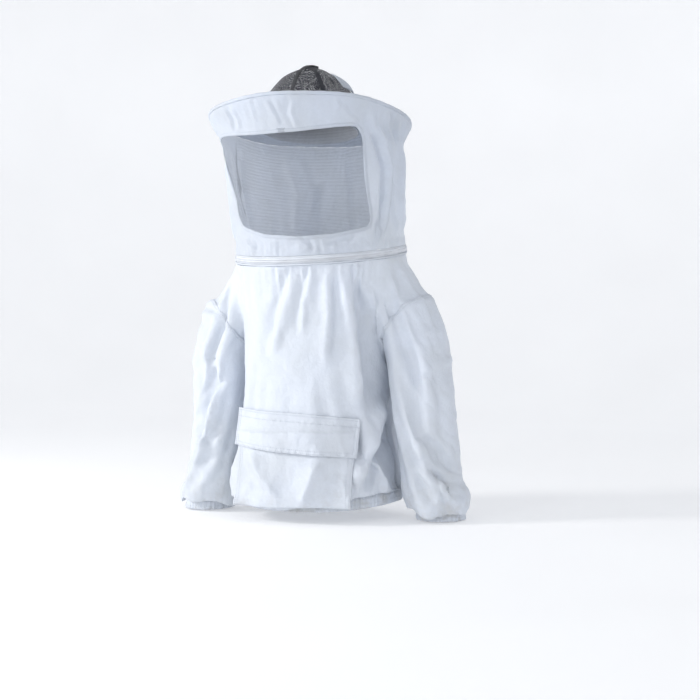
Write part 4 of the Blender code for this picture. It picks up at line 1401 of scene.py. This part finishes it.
def flap_place(u, v):
    """(x, z) of the flap; u runs -1 to 1 across and v 0 to 1 down."""
    x = u * FLAP_HALF * (1 + 0.010 * v) + 0.0012 * np.sin(3 * v) - 0.003 * v
    top = mix(-0.268, -0.288, (u + 1) / 2) + 0.0022 * np.sin(2.4 * u + 0.6)
    low = top - FLAP_DROP - 0.0016 * np.sin(3.1 * u + 1.0)
    return x, mix(top, low, v)


def make_flap(body, pouch):
    u, v = np.meshgrid(np.linspace(-1, 1, 97), np.linspace(0, 1, 37))
    xs, zs = flap_place(u, v)
    depth = front_surface([body, pouch], xs, zs, 0.0)
    rest = eased_over(depth, 8, 0.0)
    dents = np.array([noise.noise(Vector((a * 24, b * 30, 14.0)))
                      + 0.5 * noise.noise(Vector((a * 75, b * 70, 17.0)))
                      for a, b in zip(xs.ravel(), zs.ravel())]).reshape(xs.shape)
    edge = smooth(0.86, 0.99, np.abs(u)) + smooth(0.84, 0.98, v)
    rows = np.exp(-((v - 0.22) / 0.035) ** 2)
    lift = 0.0026 + 0.0016 * smooth(0.05, 0.5, v) + 0.0016 * dents * smooth(0, 0.2, v) + 0.0004 * edge
    lift = lift - 0.0005 * rows + 0.0005 * np.sin(62 * u) * (rows + smooth(0.80, 0.97, v))
    front = np.stack([xs, rest - lift, zs], -1)
    back = np.stack([xs, rest - lift + 0.0012, zs], -1)
    flap = thick_grid("flap", front, back)
    tree = BVHTree.FromObject(flap, bpy.context.evaluated_depsgraph_get())
    thread = Builder()

    def row(line, count=70):
        us = np.interp(np.linspace(0, 1, count), np.linspace(0, 1, len(line)), [a for a, _ in line])
        vs = np.interp(np.linspace(0, 1, count), np.linspace(0, 1, len(line)), [b for _, b in line])
        x, z = flap_place(us, vs)
        points, normals = cast_forward(tree, np.stack([x, np.zeros(count), z], -1))
        stitches(thread, points, normals, lift=0.0003)

    for v_row in (0.055, 0.22):
        row([(-0.985, v_row), (0.985, v_row)])
    for inset in (0.035, 0.105):
        side = inset * 0.60
        row([(-1 + side, 0.06), (-1 + side, 1 - inset)], 24)
        row([(-1 + side, 1 - inset), (1 - side, 1 - inset)])
        row([(1 - side, 1 - inset), (1 - side, 0.06)], 24)
    return flap, thread.make("flap_stitches")


def closing_strip(name, pieces, v_low, v_high, half, lift, on_flap):
    """One half of the hook and loop closing: on the flap's back or on the pouch's face."""
    u, v = np.meshgrid(np.linspace(-half / FLAP_HALF, half / FLAP_HALF, 61), np.linspace(v_low, v_high, 7))
    xs, zs = flap_place(u, v)
    depth = front_surface(pieces, xs, zs, 0.0)
    near = depth + (0.0014 if on_flap else -0.0010 - lift)
    return thick_grid(name, np.stack([xs, near, zs], -1), np.stack([xs, near + 0.0011, zs], -1))


# --- seams of the smock ------------------------------------------------------------------------
def surface_line(tree, points, towards, reach=0.30):
    """The smock's surface met from outside along a list of (point, direction) rays."""
    path, normals = [], []
    for p in points:
        d = Vector(towards(p)).normalized()
        hit = tree.ray_cast(Vector(p) - d * reach, d)
        if hit[0] is not None:
            n = hit[1] if hit[1].dot(d) < 0 else -hit[1]
            if not path or (hit[0] - path[-1]).length < 0.05:
                path.append(hit[0])
                normals.append(n)
    return path, normals


def eased_path(path, normals, times=4):
    pts, nrm = np.array([tuple(p) for p in path]), np.array([tuple(n) for n in normals])
    for _ in range(times):
        pts[1:-1] = 0.25 * pts[:-2] + 0.5 * pts[1:-1] + 0.25 * pts[2:]
        nrm[1:-1] = 0.25 * nrm[:-2] + 0.5 * nrm[1:-1] + 0.25 * nrm[2:]
    return pts, nrm / np.linalg.norm(nrm, axis=1)[:, None]


def seam_pieces(pieces, loops):
    """Armhole, side and sleeve seams as felled strips; the armhole seams with two rows of stitches, the side and
    sleeve seams with one.
    """
    made = {}
    graph = bpy.context.evaluated_depsgraph_get()
    trees = [BVHTree.FromObject(p, graph) for p in pieces]
    body_cloth, body_thread = Builder(), Builder()
    sleeves = {1: (Builder(), Builder()), -1: (Builder(), Builder())}
    for points, normals in loops:
        side = 1 if points[0].x > 0 else -1
        cloth, thread = sleeves[side]
        pts, nrm = resample(points, normals, 0.004, closed=True)
        strip(cloth, pts, nrm, 0.0070, 0.0011, closed=True)
        for offset in (-0.0022, 0.0022):
            stitches(thread, pts, nrm, offset, lift=0.0012, closed=True)
    for side in (1, -1):
        heights = np.linspace(-0.175, -0.418, 60)
        path, normals = surface_line(trees[0], [(0, 0.006, z) for z in heights], lambda p: (-side, 0, 0))
        if len(path) > 10:
            pts, nrm = eased_path(path, normals)
            strip(body_cloth, pts, nrm, 0.0060, 0.0009)
            stitches(body_thread, pts, nrm, 0.0018, lift=0.0010)
        cloth, thread = sleeves[side]
        heights = np.linspace(-0.20, -0.437, 60)
        tree = trees[1 if side > 0 else 2]
        path, normals = surface_line(tree, [(side * 0.210, 0.012, z) for z in heights],
                                     lambda p: (side, 0, 0), 0.14)
        if len(path) > 10:
            pts, nrm = eased_path(path, normals)
            strip(cloth, pts, nrm, 0.0055, 0.0009)
            stitches(thread, pts, nrm, 0.0016, lift=0.0010)
    made["body"] = (body_cloth.make("side_seams"), body_thread.make("side_seam_stitches"))
    for side, name in ((1, "left"), (-1, "right")):
        cloth, thread = sleeves[side]
        made[name] = (cloth.make(f"armhole_seam_{name}"), thread.make(f"armhole_stitches_{name}"))
    return made


# --- materials --------------------------------------------------------------------------------------
class Nodes:
    """Short calls for building a material's node tree."""

    def __init__(self, name):
        self.material = bpy.data.materials.new(name)
        self.material.use_nodes = True
        self.tree = self.material.node_tree
        self.shader = self.tree.nodes["Principled BSDF"]
        self.place = self.tree.nodes.new("ShaderNodeTexCoord").outputs["Object"]

    def new(self, kind, **values):
        node = self.tree.nodes.new(kind)
        for name, value in values.items():
            if name in node.inputs:
                self.put(node.inputs[name], value)
            else:
                setattr(node, name, value)
        return node

    def put(self, socket, value):
        if isinstance(value, bpy.types.NodeSocket):
            self.tree.links.new(value, socket)
        else:
            socket.default_value = value

    def math(self, operation, a, b=0.0, c=0.0):
        node = self.tree.nodes.new("ShaderNodeMath")
        node.operation = operation
        for socket, value in zip(node.inputs, (a, b, c)):
            self.put(socket, value)
        return node.outputs[0]

    def noise(self, scale, detail=2.0, rough=0.5, place=None):
        node = self.new("ShaderNodeTexNoise", Vector=place or self.place, Scale=scale, Detail=detail,
                        Roughness=rough)
        return node.outputs[0]

    def stretch(self, scale, turn=(0, 0, 0)):
        node = self.tree.nodes.new("ShaderNodeMapping")
        self.put(node.inputs["Vector"], self.place)
        node.inputs["Scale"].default_value = scale
        node.inputs["Rotation"].default_value = turn
        return node.outputs[0]

    def wave(self, scale, place, distortion=0.3):
        node = self.new("ShaderNodeTexWave", Vector=place, Scale=scale, Distortion=distortion)
        return node.outputs["Fac"]

    def ramp(self, value, low, high):
        node = self.tree.nodes.new("ShaderNodeMapRange")
        self.put(node.inputs["Value"], value)
        node.inputs["From Min"].default_value = low
        node.inputs["From Max"].default_value = high
        return node.outputs[0]

    def blend(self, share, a, b):
        node = self.tree.nodes.new("ShaderNodeMix")
        node.data_type = "RGBA"
        self.put(node.inputs["Factor"], share)
        for socket, value in zip([i for i in node.inputs if i.type == "RGBA"], (a, b)):
            self.put(socket, value)
        return [o for o in node.outputs if o.type == "RGBA"][0]

    def bump(self, height, distance, strength=1.0, below=None):
        node = self.tree.nodes.new("ShaderNodeBump")
        node.inputs["Strength"].default_value = strength
        node.inputs["Distance"].default_value = distance
        self.put(node.inputs["Height"], height)
        if below is not None:
            self.put(node.inputs["Normal"], below)
        return node.outputs[0]

    def pass_light(self, share, colour, normal):
        """Lets a share of the light through the cloth, scattered."""
        thin = self.new("ShaderNodeBsdfTranslucent", Color=colour, Normal=normal)
        both = self.new("ShaderNodeMixShader", Fac=share)
        self.tree.links.new(self.shader.outputs[0], both.inputs[1])
        self.tree.links.new(thin.outputs[0], both.inputs[2])
        self.tree.links.new(both.outputs[0], self.tree.nodes["Material Output"].inputs["Surface"])

    def set(self, **values):
        for name, value in values.items():
            self.put(self.shader.inputs[name.replace("_", " ")], value)
        return self.material


def cotton_material(name, tint=(0.74, 0.785, 0.86), weave=1150.0, crease=0.0012, soil=0.5, through=0.14):
    """Washed twill: diagonal weave, soft creases, faint blotches and a little grey where it rubs."""
    m = Nodes(name)
    height = m.new("ShaderNodeSeparateXYZ", Vector=m.place).outputs["Z"]
    blotch = m.ramp(m.noise(9.0, 4.0, 0.6), 0.35, 0.70)
    fine = m.noise(260.0, 2.0)
    pale = tuple(c * 1.03 for c in tint) + (1,)
    dull = (tint[0] * 0.93, tint[1] * 0.925, tint[2] * 0.90, 1)
    colour = m.blend(blotch, pale, dull)
    specks = m.ramp(fine, 0.42, 0.62)
    colour = m.blend(m.math("MULTIPLY", specks, 0.15), colour, tuple(c * 0.90 for c in tint) + (1,))
    low = m.ramp(height, -0.36, -0.465)
    patches = m.ramp(m.noise(28.0, 5.0, 0.65), 0.48, 0.72)
    grime = m.math("MULTIPLY", m.math("MULTIPLY", low, patches), soil)
    colour = m.blend(grime, colour, (0.46, 0.44, 0.39, 1))
    twill = m.wave(weave / 6.283, m.stretch((1, 1, 1), (0.3, 0.75, 0.2)), 0.6)
    across = m.noise(900.0, 1.0)
    cloth = m.math("ADD", m.math("MULTIPLY", twill, 0.7), m.math("MULTIPLY", across, 0.5))
    rumple = m.math("ADD", m.noise(26.0, 5.0, 0.62),
                    m.math("MULTIPLY", m.noise(62.0, 4.0, 0.6, m.stretch((1, 1, 0.45))), 0.5))
    normal = m.bump(rumple, crease * 2.4)
    normal = m.bump(cloth, 0.00018, 0.6, normal)
    m.pass_light(through, colour, normal)
    return m.set(Base_Color=colour, Roughness=0.86, Normal=normal, Sheen_Weight=0.25, Sheen_Roughness=0.5,
                 Specular_IOR_Level=0.25)


def net_material(name, cell=0.0020, strand=0.00021, colour=(0.075, 0.082, 0.105)):
    """Knitted netting: threads along and across with open holes between them."""
    m = Nodes(name)
    masks = []
    for layer in ("net_u", "net_v"):
        u = m.new("ShaderNodeAttribute", attribute_name=layer).outputs["Fac"]
        wobble = m.math("MULTIPLY", m.math("SUBTRACT", m.noise(700.0, 1.0), 0.5), 0.0005)
        part = m.math("FRACT", m.math("DIVIDE", m.math("ADD", u, wobble), cell))
        off = m.math("ABSOLUTE", m.math("SUBTRACT", part, 0.5))
        masks.append(m.math("GREATER_THAN", off, 0.5 - strand / cell / 2))
    solid = m.math("MAXIMUM", masks[0], masks[1])
    shade = m.blend(m.ramp(m.noise(60.0, 3.0), 0.3, 0.7), tuple(colour) + (1,),
                    tuple(c * 1.7 for c in colour) + (1,))
    normal = m.bump(m.noise(1500.0, 1.0), 0.0002, 0.5)
    return m.set(Base_Color=shade, Alpha=solid, Roughness=0.55, Normal=normal, Specular_IOR_Level=0.4)


def tape_material(name, tint=(0.74, 0.785, 0.86)):
    """Woven tape with a fine herringbone rib."""
    m = Nodes(name)
    rib = m.wave(420.0, m.stretch((1, 1, 1), (0.2, 0.2, 0.8)), 0.4)
    cross = m.wave(330.0, m.stretch((1, 1, 1), (0.9, 0.1, 0.1)), 0.4)
    colour = m.blend(m.ramp(m.noise(35.0, 3.0), 0.35, 0.7), tuple(tint) + (1,),
                     tuple(c * 0.92 for c in tint) + (1,))
    normal = m.bump(m.math("ADD", rib, cross), 0.0003, 0.7)
    return m.set(Base_Color=colour, Roughness=0.80, Normal=normal, Sheen_Weight=0.15, Specular_IOR_Level=0.3)


def thread_material(name, tint=(0.70, 0.745, 0.82)):
    """Twisted sewing thread."""
    m = Nodes(name)
    twist = m.wave(2400.0, m.stretch((1, 1, 1), (0.5, 0.5, 0.5)), 0.5)
    colour = m.blend(m.noise(90.0), tuple(tint) + (1,), tuple(c * 0.82 for c in tint) + (1,))
    return m.set(Base_Color=colour, Roughness=0.6, Normal=m.bump(twist, 0.0001, 0.6), Sheen_Weight=0.2)


def plastic_material(name, tint, rough=0.35):
    """Moulded nylon with light scuffs."""
    m = Nodes(name)
    scuff = m.noise(240.0, 4.0, 0.6, m.stretch((1, 4, 1)))
    colour = m.blend(m.ramp(m.noise(50.0), 0.3, 0.7), tuple(tint) + (1,), tuple(c * 0.9 for c in tint) + (1,))
    return m.set(Base_Color=colour, Roughness=m.math("MULTIPLY_ADD", scuff, 0.25, rough - 0.1),
                 Normal=m.bump(scuff, 0.00006, 0.5), Coat_Weight=0.15)


def steel_material(name):
    """Cast zinc with a dull plated finish and fine scratches."""
    m = Nodes(name)
    scratch = m.noise(500.0, 4.0, 0.7, m.stretch((1, 1, 9)))
    colour = m.blend(m.noise(120.0), (0.62, 0.63, 0.65, 1), (0.48, 0.49, 0.51, 1))
    return m.set(Base_Color=colour, Metallic=1.0, Roughness=m.math("MULTIPLY_ADD", scratch, 0.3, 0.2),
                 Normal=m.bump(scratch, 0.00004, 0.5))


def hook_material(name, loops):
    """Hook or loop tape: a dense field of tiny hooks or fuzz."""
    m = Nodes(name)
    cells = m.new("ShaderNodeTexVoronoi", Vector=m.place, Scale=900.0 if loops else 620.0).outputs["Distance"]
    fuzz = m.noise(700.0, 3.0, 0.7)
    height = m.math("ADD", m.math("MULTIPLY", cells, 0.4 if loops else 1.0), m.math("MULTIPLY", fuzz, 0.9))
    tint = (0.66, 0.70, 0.76) if loops else (0.58, 0.62, 0.68)
    colour = m.blend(m.ramp(cells, 0.1, 0.7), tuple(c * 0.75 for c in tint) + (1,), tuple(tint) + (1,))
    return m.set(Base_Color=colour, Roughness=0.8, Normal=m.bump(height, 0.0006, 0.8),
                 Sheen_Weight=0.5 if loops else 0.1)


def paint(material, *objs):
    for obj in objs:
        obj.data.materials.clear()
        obj.data.materials.append(material)


# --- the whole object ---------------------------------------------------------------------------------
def dress(obj, body, slot, material, *nodes):
    """Gives a piece its material, lets it ride a body and stand for CAD nodes; slot is not used."""
    paint(material, obj)
    if body:
        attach(obj, body)
    if nodes:
        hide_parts(*nodes)


cotton = cotton_material("smock_twill")
hood_cotton = cotton_material("hood_twill", crease=0.0010, soil=0.2, through=0.34)
band_cotton = cotton_material("band_twill", crease=0.0006, soil=0.9)
netting = net_material("black_netting")
# The crown's black netting is drawn darker and denser than the window's; that extra darkness is painted shade for
# the crown's dark inside.
crown_net = net_material("crown_netting", cell=0.0020, strand=0.00090, colour=(0.022, 0.023, 0.030))
tape = tape_material("white_tape", (0.82, 0.855, 0.91))
thread = thread_material("white_thread")
coil = plastic_material("white_nylon", (0.84, 0.865, 0.91))
sweat = tape_material("sweatband_rib", (0.60, 0.63, 0.68))

(smock_body, sleeve_left, sleeve_right), armholes = shaped_smock()
seams = seam_pieces((smock_body, sleeve_left, sleeve_right), armholes)
pouch, pouch_thread = make_pouch(smock_body)
flap, flap_thread = make_flap(smock_body, pouch)
hook = closing_strip("hook_strip", [flap], 0.62, 0.86, 0.085, 0.0, True)
loop = closing_strip("loop_strip", [pouch], 0.64, 0.84, 0.085, 0.0, False)

dress(smock_body, "jacket", "cotton", cotton, "front_body", "back_body")
dress(seams["body"][0], "jacket", "cotton", cotton)
dress(seams["body"][1], "jacket", "cotton", thread)
dress(pouch, "jacket", "cotton", cotton, "pouch_pocket")
dress(pouch_thread, "jacket", "cotton", thread)
dress(loop, "jacket", "tape", hook_material("loop_tape", True), "pocket_loop_strip")
dress(hook, "pocket_flap", "tape", hook_material("hook_tape", False), "flap_hook_strip")
dress(flap, None, "cotton", cotton, "pocket_flap", "flap_seam_band")
dress(flap_thread, None, "cotton", thread)
for piece in (flap, flap_thread):
    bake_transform(piece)

for side, name, sleeve in ((1, "left", sleeve_left), (-1, "right", sleeve_right)):
    body = f"{name}_sleeve"
    dress(sleeve, None, "cotton", cotton, f"sleeve_{name}")
    dress(seams[name][0], None, "cotton", cotton)
    dress(seams[name][1], None, "cotton", thread)
    for piece in (sleeve,) + seams[name]:
        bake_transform(piece)
    cuff = gathered_band(f"cuff_band_{name}", (side * CUFF_X, 0), 0.0415, 0.0455, 2.0, CUFF_TOP, CUFF_LOW,
                         30, 40 + side, 300)
    dress(cuff, body, "cotton", band_cotton, f"cuff_casing_{name}", f"cuff_elastic_{name}")
    rows = Builder()
    for z in (CUFF_TOP - 0.0050, CUFF_TOP - 0.0125):
        stitches(rows, *band_rows((side * CUFF_X, 0), 0.0424, 0.0464, 2.0, z), lift=0.0, closed=True)
    dress(rows.make(f"cuff_stitches_{name}"), body, "cotton", thread)

hem = gathered_band("hem_band", (0, 0), 0.1428, 0.1248, SQUARENESS, HEM_TOP, HEM_LOW, 78, 44, 900,
                    rise=0.010)
dress(hem, "jacket", "cotton", band_cotton, "hem_casing", "hem_elastic")
rows = Builder()
for z in (HEM_TOP - 0.0058, HEM_TOP - 0.0145):
    stitches(rows, *band_rows((0, 0), 0.1440, 0.1260, SQUARENESS, z, 400, rise=0.010), lift=0.0, closed=True)
dress(rows.make("hem_stitches"), "jacket", "cotton", thread)

veil = Veil()
veil_cotton, window_netting, window_binding, window_thread = make_veil(veil)
dress(veil_cotton, None, "cotton", hood_cotton, "veil_top_band", "veil_lower_band", "side_panel_left",
      "side_panel_right", "back_panel")
dress(window_netting, "hood", "netting", netting, "face_mesh")
dress(window_binding, "hood", "cotton", hood_cotton)
dress(window_thread, "hood", "cotton", thread)
brim_top, brim_under, brim_edge, brim_thread = make_brim()
dress(brim_top, "hood", "cotton", hood_cotton, "brim_upper_panel", "brim_stiffener")
dress(brim_under, "hood", "cotton", hood_cotton, "brim_lower_panel")
dress(brim_edge, "hood", "cotton", hood_cotton, "brim_edge_binding", "brim_hoop")
dress(brim_thread, "hood", "cotton", thread)
crown, crown_tapes, crown_thread, crown_cap = make_crown()
dress(crown, "hood", "netting", crown_net, "crown_mesh_left", "crown_mesh_right")
dress(crown_tapes, "hood", "tape", net_material("seam_tape", 0.0009, 0.0007, (0.045, 0.046, 0.050)),
      "crown_tape_front", "crown_tape_back")
dress(crown_thread, "hood", "tape", thread_material("dark_thread", (0.05, 0.05, 0.055)))
dress(crown_cap, "hood", "tape", tape_material("dark_tape", (0.06, 0.06, 0.068)), "crown_cap_patch")
tab = make_tab()
dress(tab, "hood", "cotton", hood_cotton, "crown_tab")
hat_band, sweatband = make_bands()
dress(hat_band, "hood", "cotton", hood_cotton, "hat_band")
dress(sweatband, "hood", "tape", sweat, "sweatband")

lower_tape = zip_tape("zip_tape_low", -1)
dress(lower_tape, "jacket", "tape", tape, "zip_tape_lower")
dress(zip_teeth("zip_teeth_low", -1), "jacket", "nylon", coil, "zip_coil_lower")
dress(make_stops(), "jacket", "nylon", coil, "zip_stop_left", "zip_stop_right")
path, out = ring_path(0.1537, -0.0064, wave=0.0002)
piping = Builder()
strip(piping, path, out, 0.0026, 0.0013, closed=True)
dress(piping.make("neck_seam"), "jacket", "cotton", cotton, "neck_piping")
rows = Builder()
path, out = ring_path(0.1530, -0.0048, count=420)
stitches(rows, path, out, lift=0.0002, closed=True)
dress(rows.make("neck_stitches"), "jacket", "tape", thread)
upper_tape = zip_tape("zip_tape_up", 1)
upper_teeth = zip_teeth("zip_teeth_up", 1)
rows = Builder()
path, out = ring_path(0.1531, 0.0058, count=420)
stitches(rows, path, out, lift=0.0002, closed=True)
upper_rows = rows.make("upper_tape_stitches")
dress(upper_tape, None, "tape", tape, "zip_tape_upper")
dress(upper_teeth, None, "nylon", coil, "zip_coil_upper")
dress(upper_rows, None, "tape", thread)
for piece in (veil_cotton, upper_tape, upper_teeth, upper_rows):
    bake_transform(piece)
metal = steel_material("plated_zinc")
dress(make_slider(), "zip_slider", "steel", metal, "zip_slider")
dress(make_pull(), "zip_pull", "steel", metal, "zip_pull")

# --- floor, light and camera ---------------------------------------------------------------------------
FLOOR_Z = -0.4645
ROOM, COVE = 4.2, 1.6         # radius of the round backdrop, and of the curve at its foot
profile = [(0.0002, FLOOR_Z), (ROOM - COVE, FLOOR_Z)]
profile += [(ROOM - COVE + COVE * math.sin(a), FLOOR_Z + COVE - COVE * math.cos(a))
            for a in np.linspace(0.1, math.pi / 2, 14)]
profile.append((ROOM, 5.0))
floor = loft("floor", [[Vector((r * math.sin(t), r * math.cos(t), z))
                        for t in np.linspace(0, 2 * math.pi, 97)[:-1]]
                       for r, z in profile], wrap_ends=False)
m = Nodes("pale_floor")
shade = m.blend(m.ramp(m.noise(3.0, 4.0), 0.3, 0.7), (0.74, 0.745, 0.75, 1), (0.71, 0.715, 0.72, 1))
paint(m.set(Base_Color=shade, Roughness=0.9, Emission_Color=(0.96, 0.97, 1.0, 1), Emission_Strength=0.34),
      floor)

scene = bpy.context.scene
world = bpy.data.worlds.new("studio")
scene.world = world
world.use_nodes = True
world.node_tree.nodes["Background"].inputs["Color"].default_value = (0.90, 0.93, 1.0, 1)
world.node_tree.nodes["Background"].inputs["Strength"].default_value = 0.30


def area_light(name, place, aim, size, energy, colour):
    light = bpy.data.lights.new(name, "AREA")
    light.size = size
    light.energy = energy
    light.color = colour
    obj = bpy.data.objects.new(name, light)
    scene.collection.objects.link(obj)
    obj.location = place
    obj.rotation_euler = (Vector(aim) - Vector(place)).to_track_quat("-Z", "Y").to_euler()


area_light("key", (-2.0, -1.3, 0.85), (0, 0, -0.05), 0.55, 35, (1.0, 0.985, 0.965))
area_light("fill", (-0.5, -2.3, 0.20), (0, 0, 0.10), 0.6, 8, (0.94, 0.965, 1.0))

camera = bpy.data.cameras.new("camera")
camera.lens = 62.8
camera.sensor_width = 36
camera_object = bpy.data.objects.new("camera", camera)
scene.collection.objects.link(camera_object)
across = Vector((math.cos(VIEW_AZIMUTH), math.sin(VIEW_AZIMUTH), 0))
camera_object.location = Vector((math.sin(VIEW_AZIMUTH) * 2.2, -math.cos(VIEW_AZIMUTH) * 2.2,
                                 -0.17)) + across * 0.052
camera_object.rotation_euler = (math.radians(90), 0, VIEW_AZIMUTH)
scene.camera = camera_object
scene.view_settings.view_transform = "Standard"
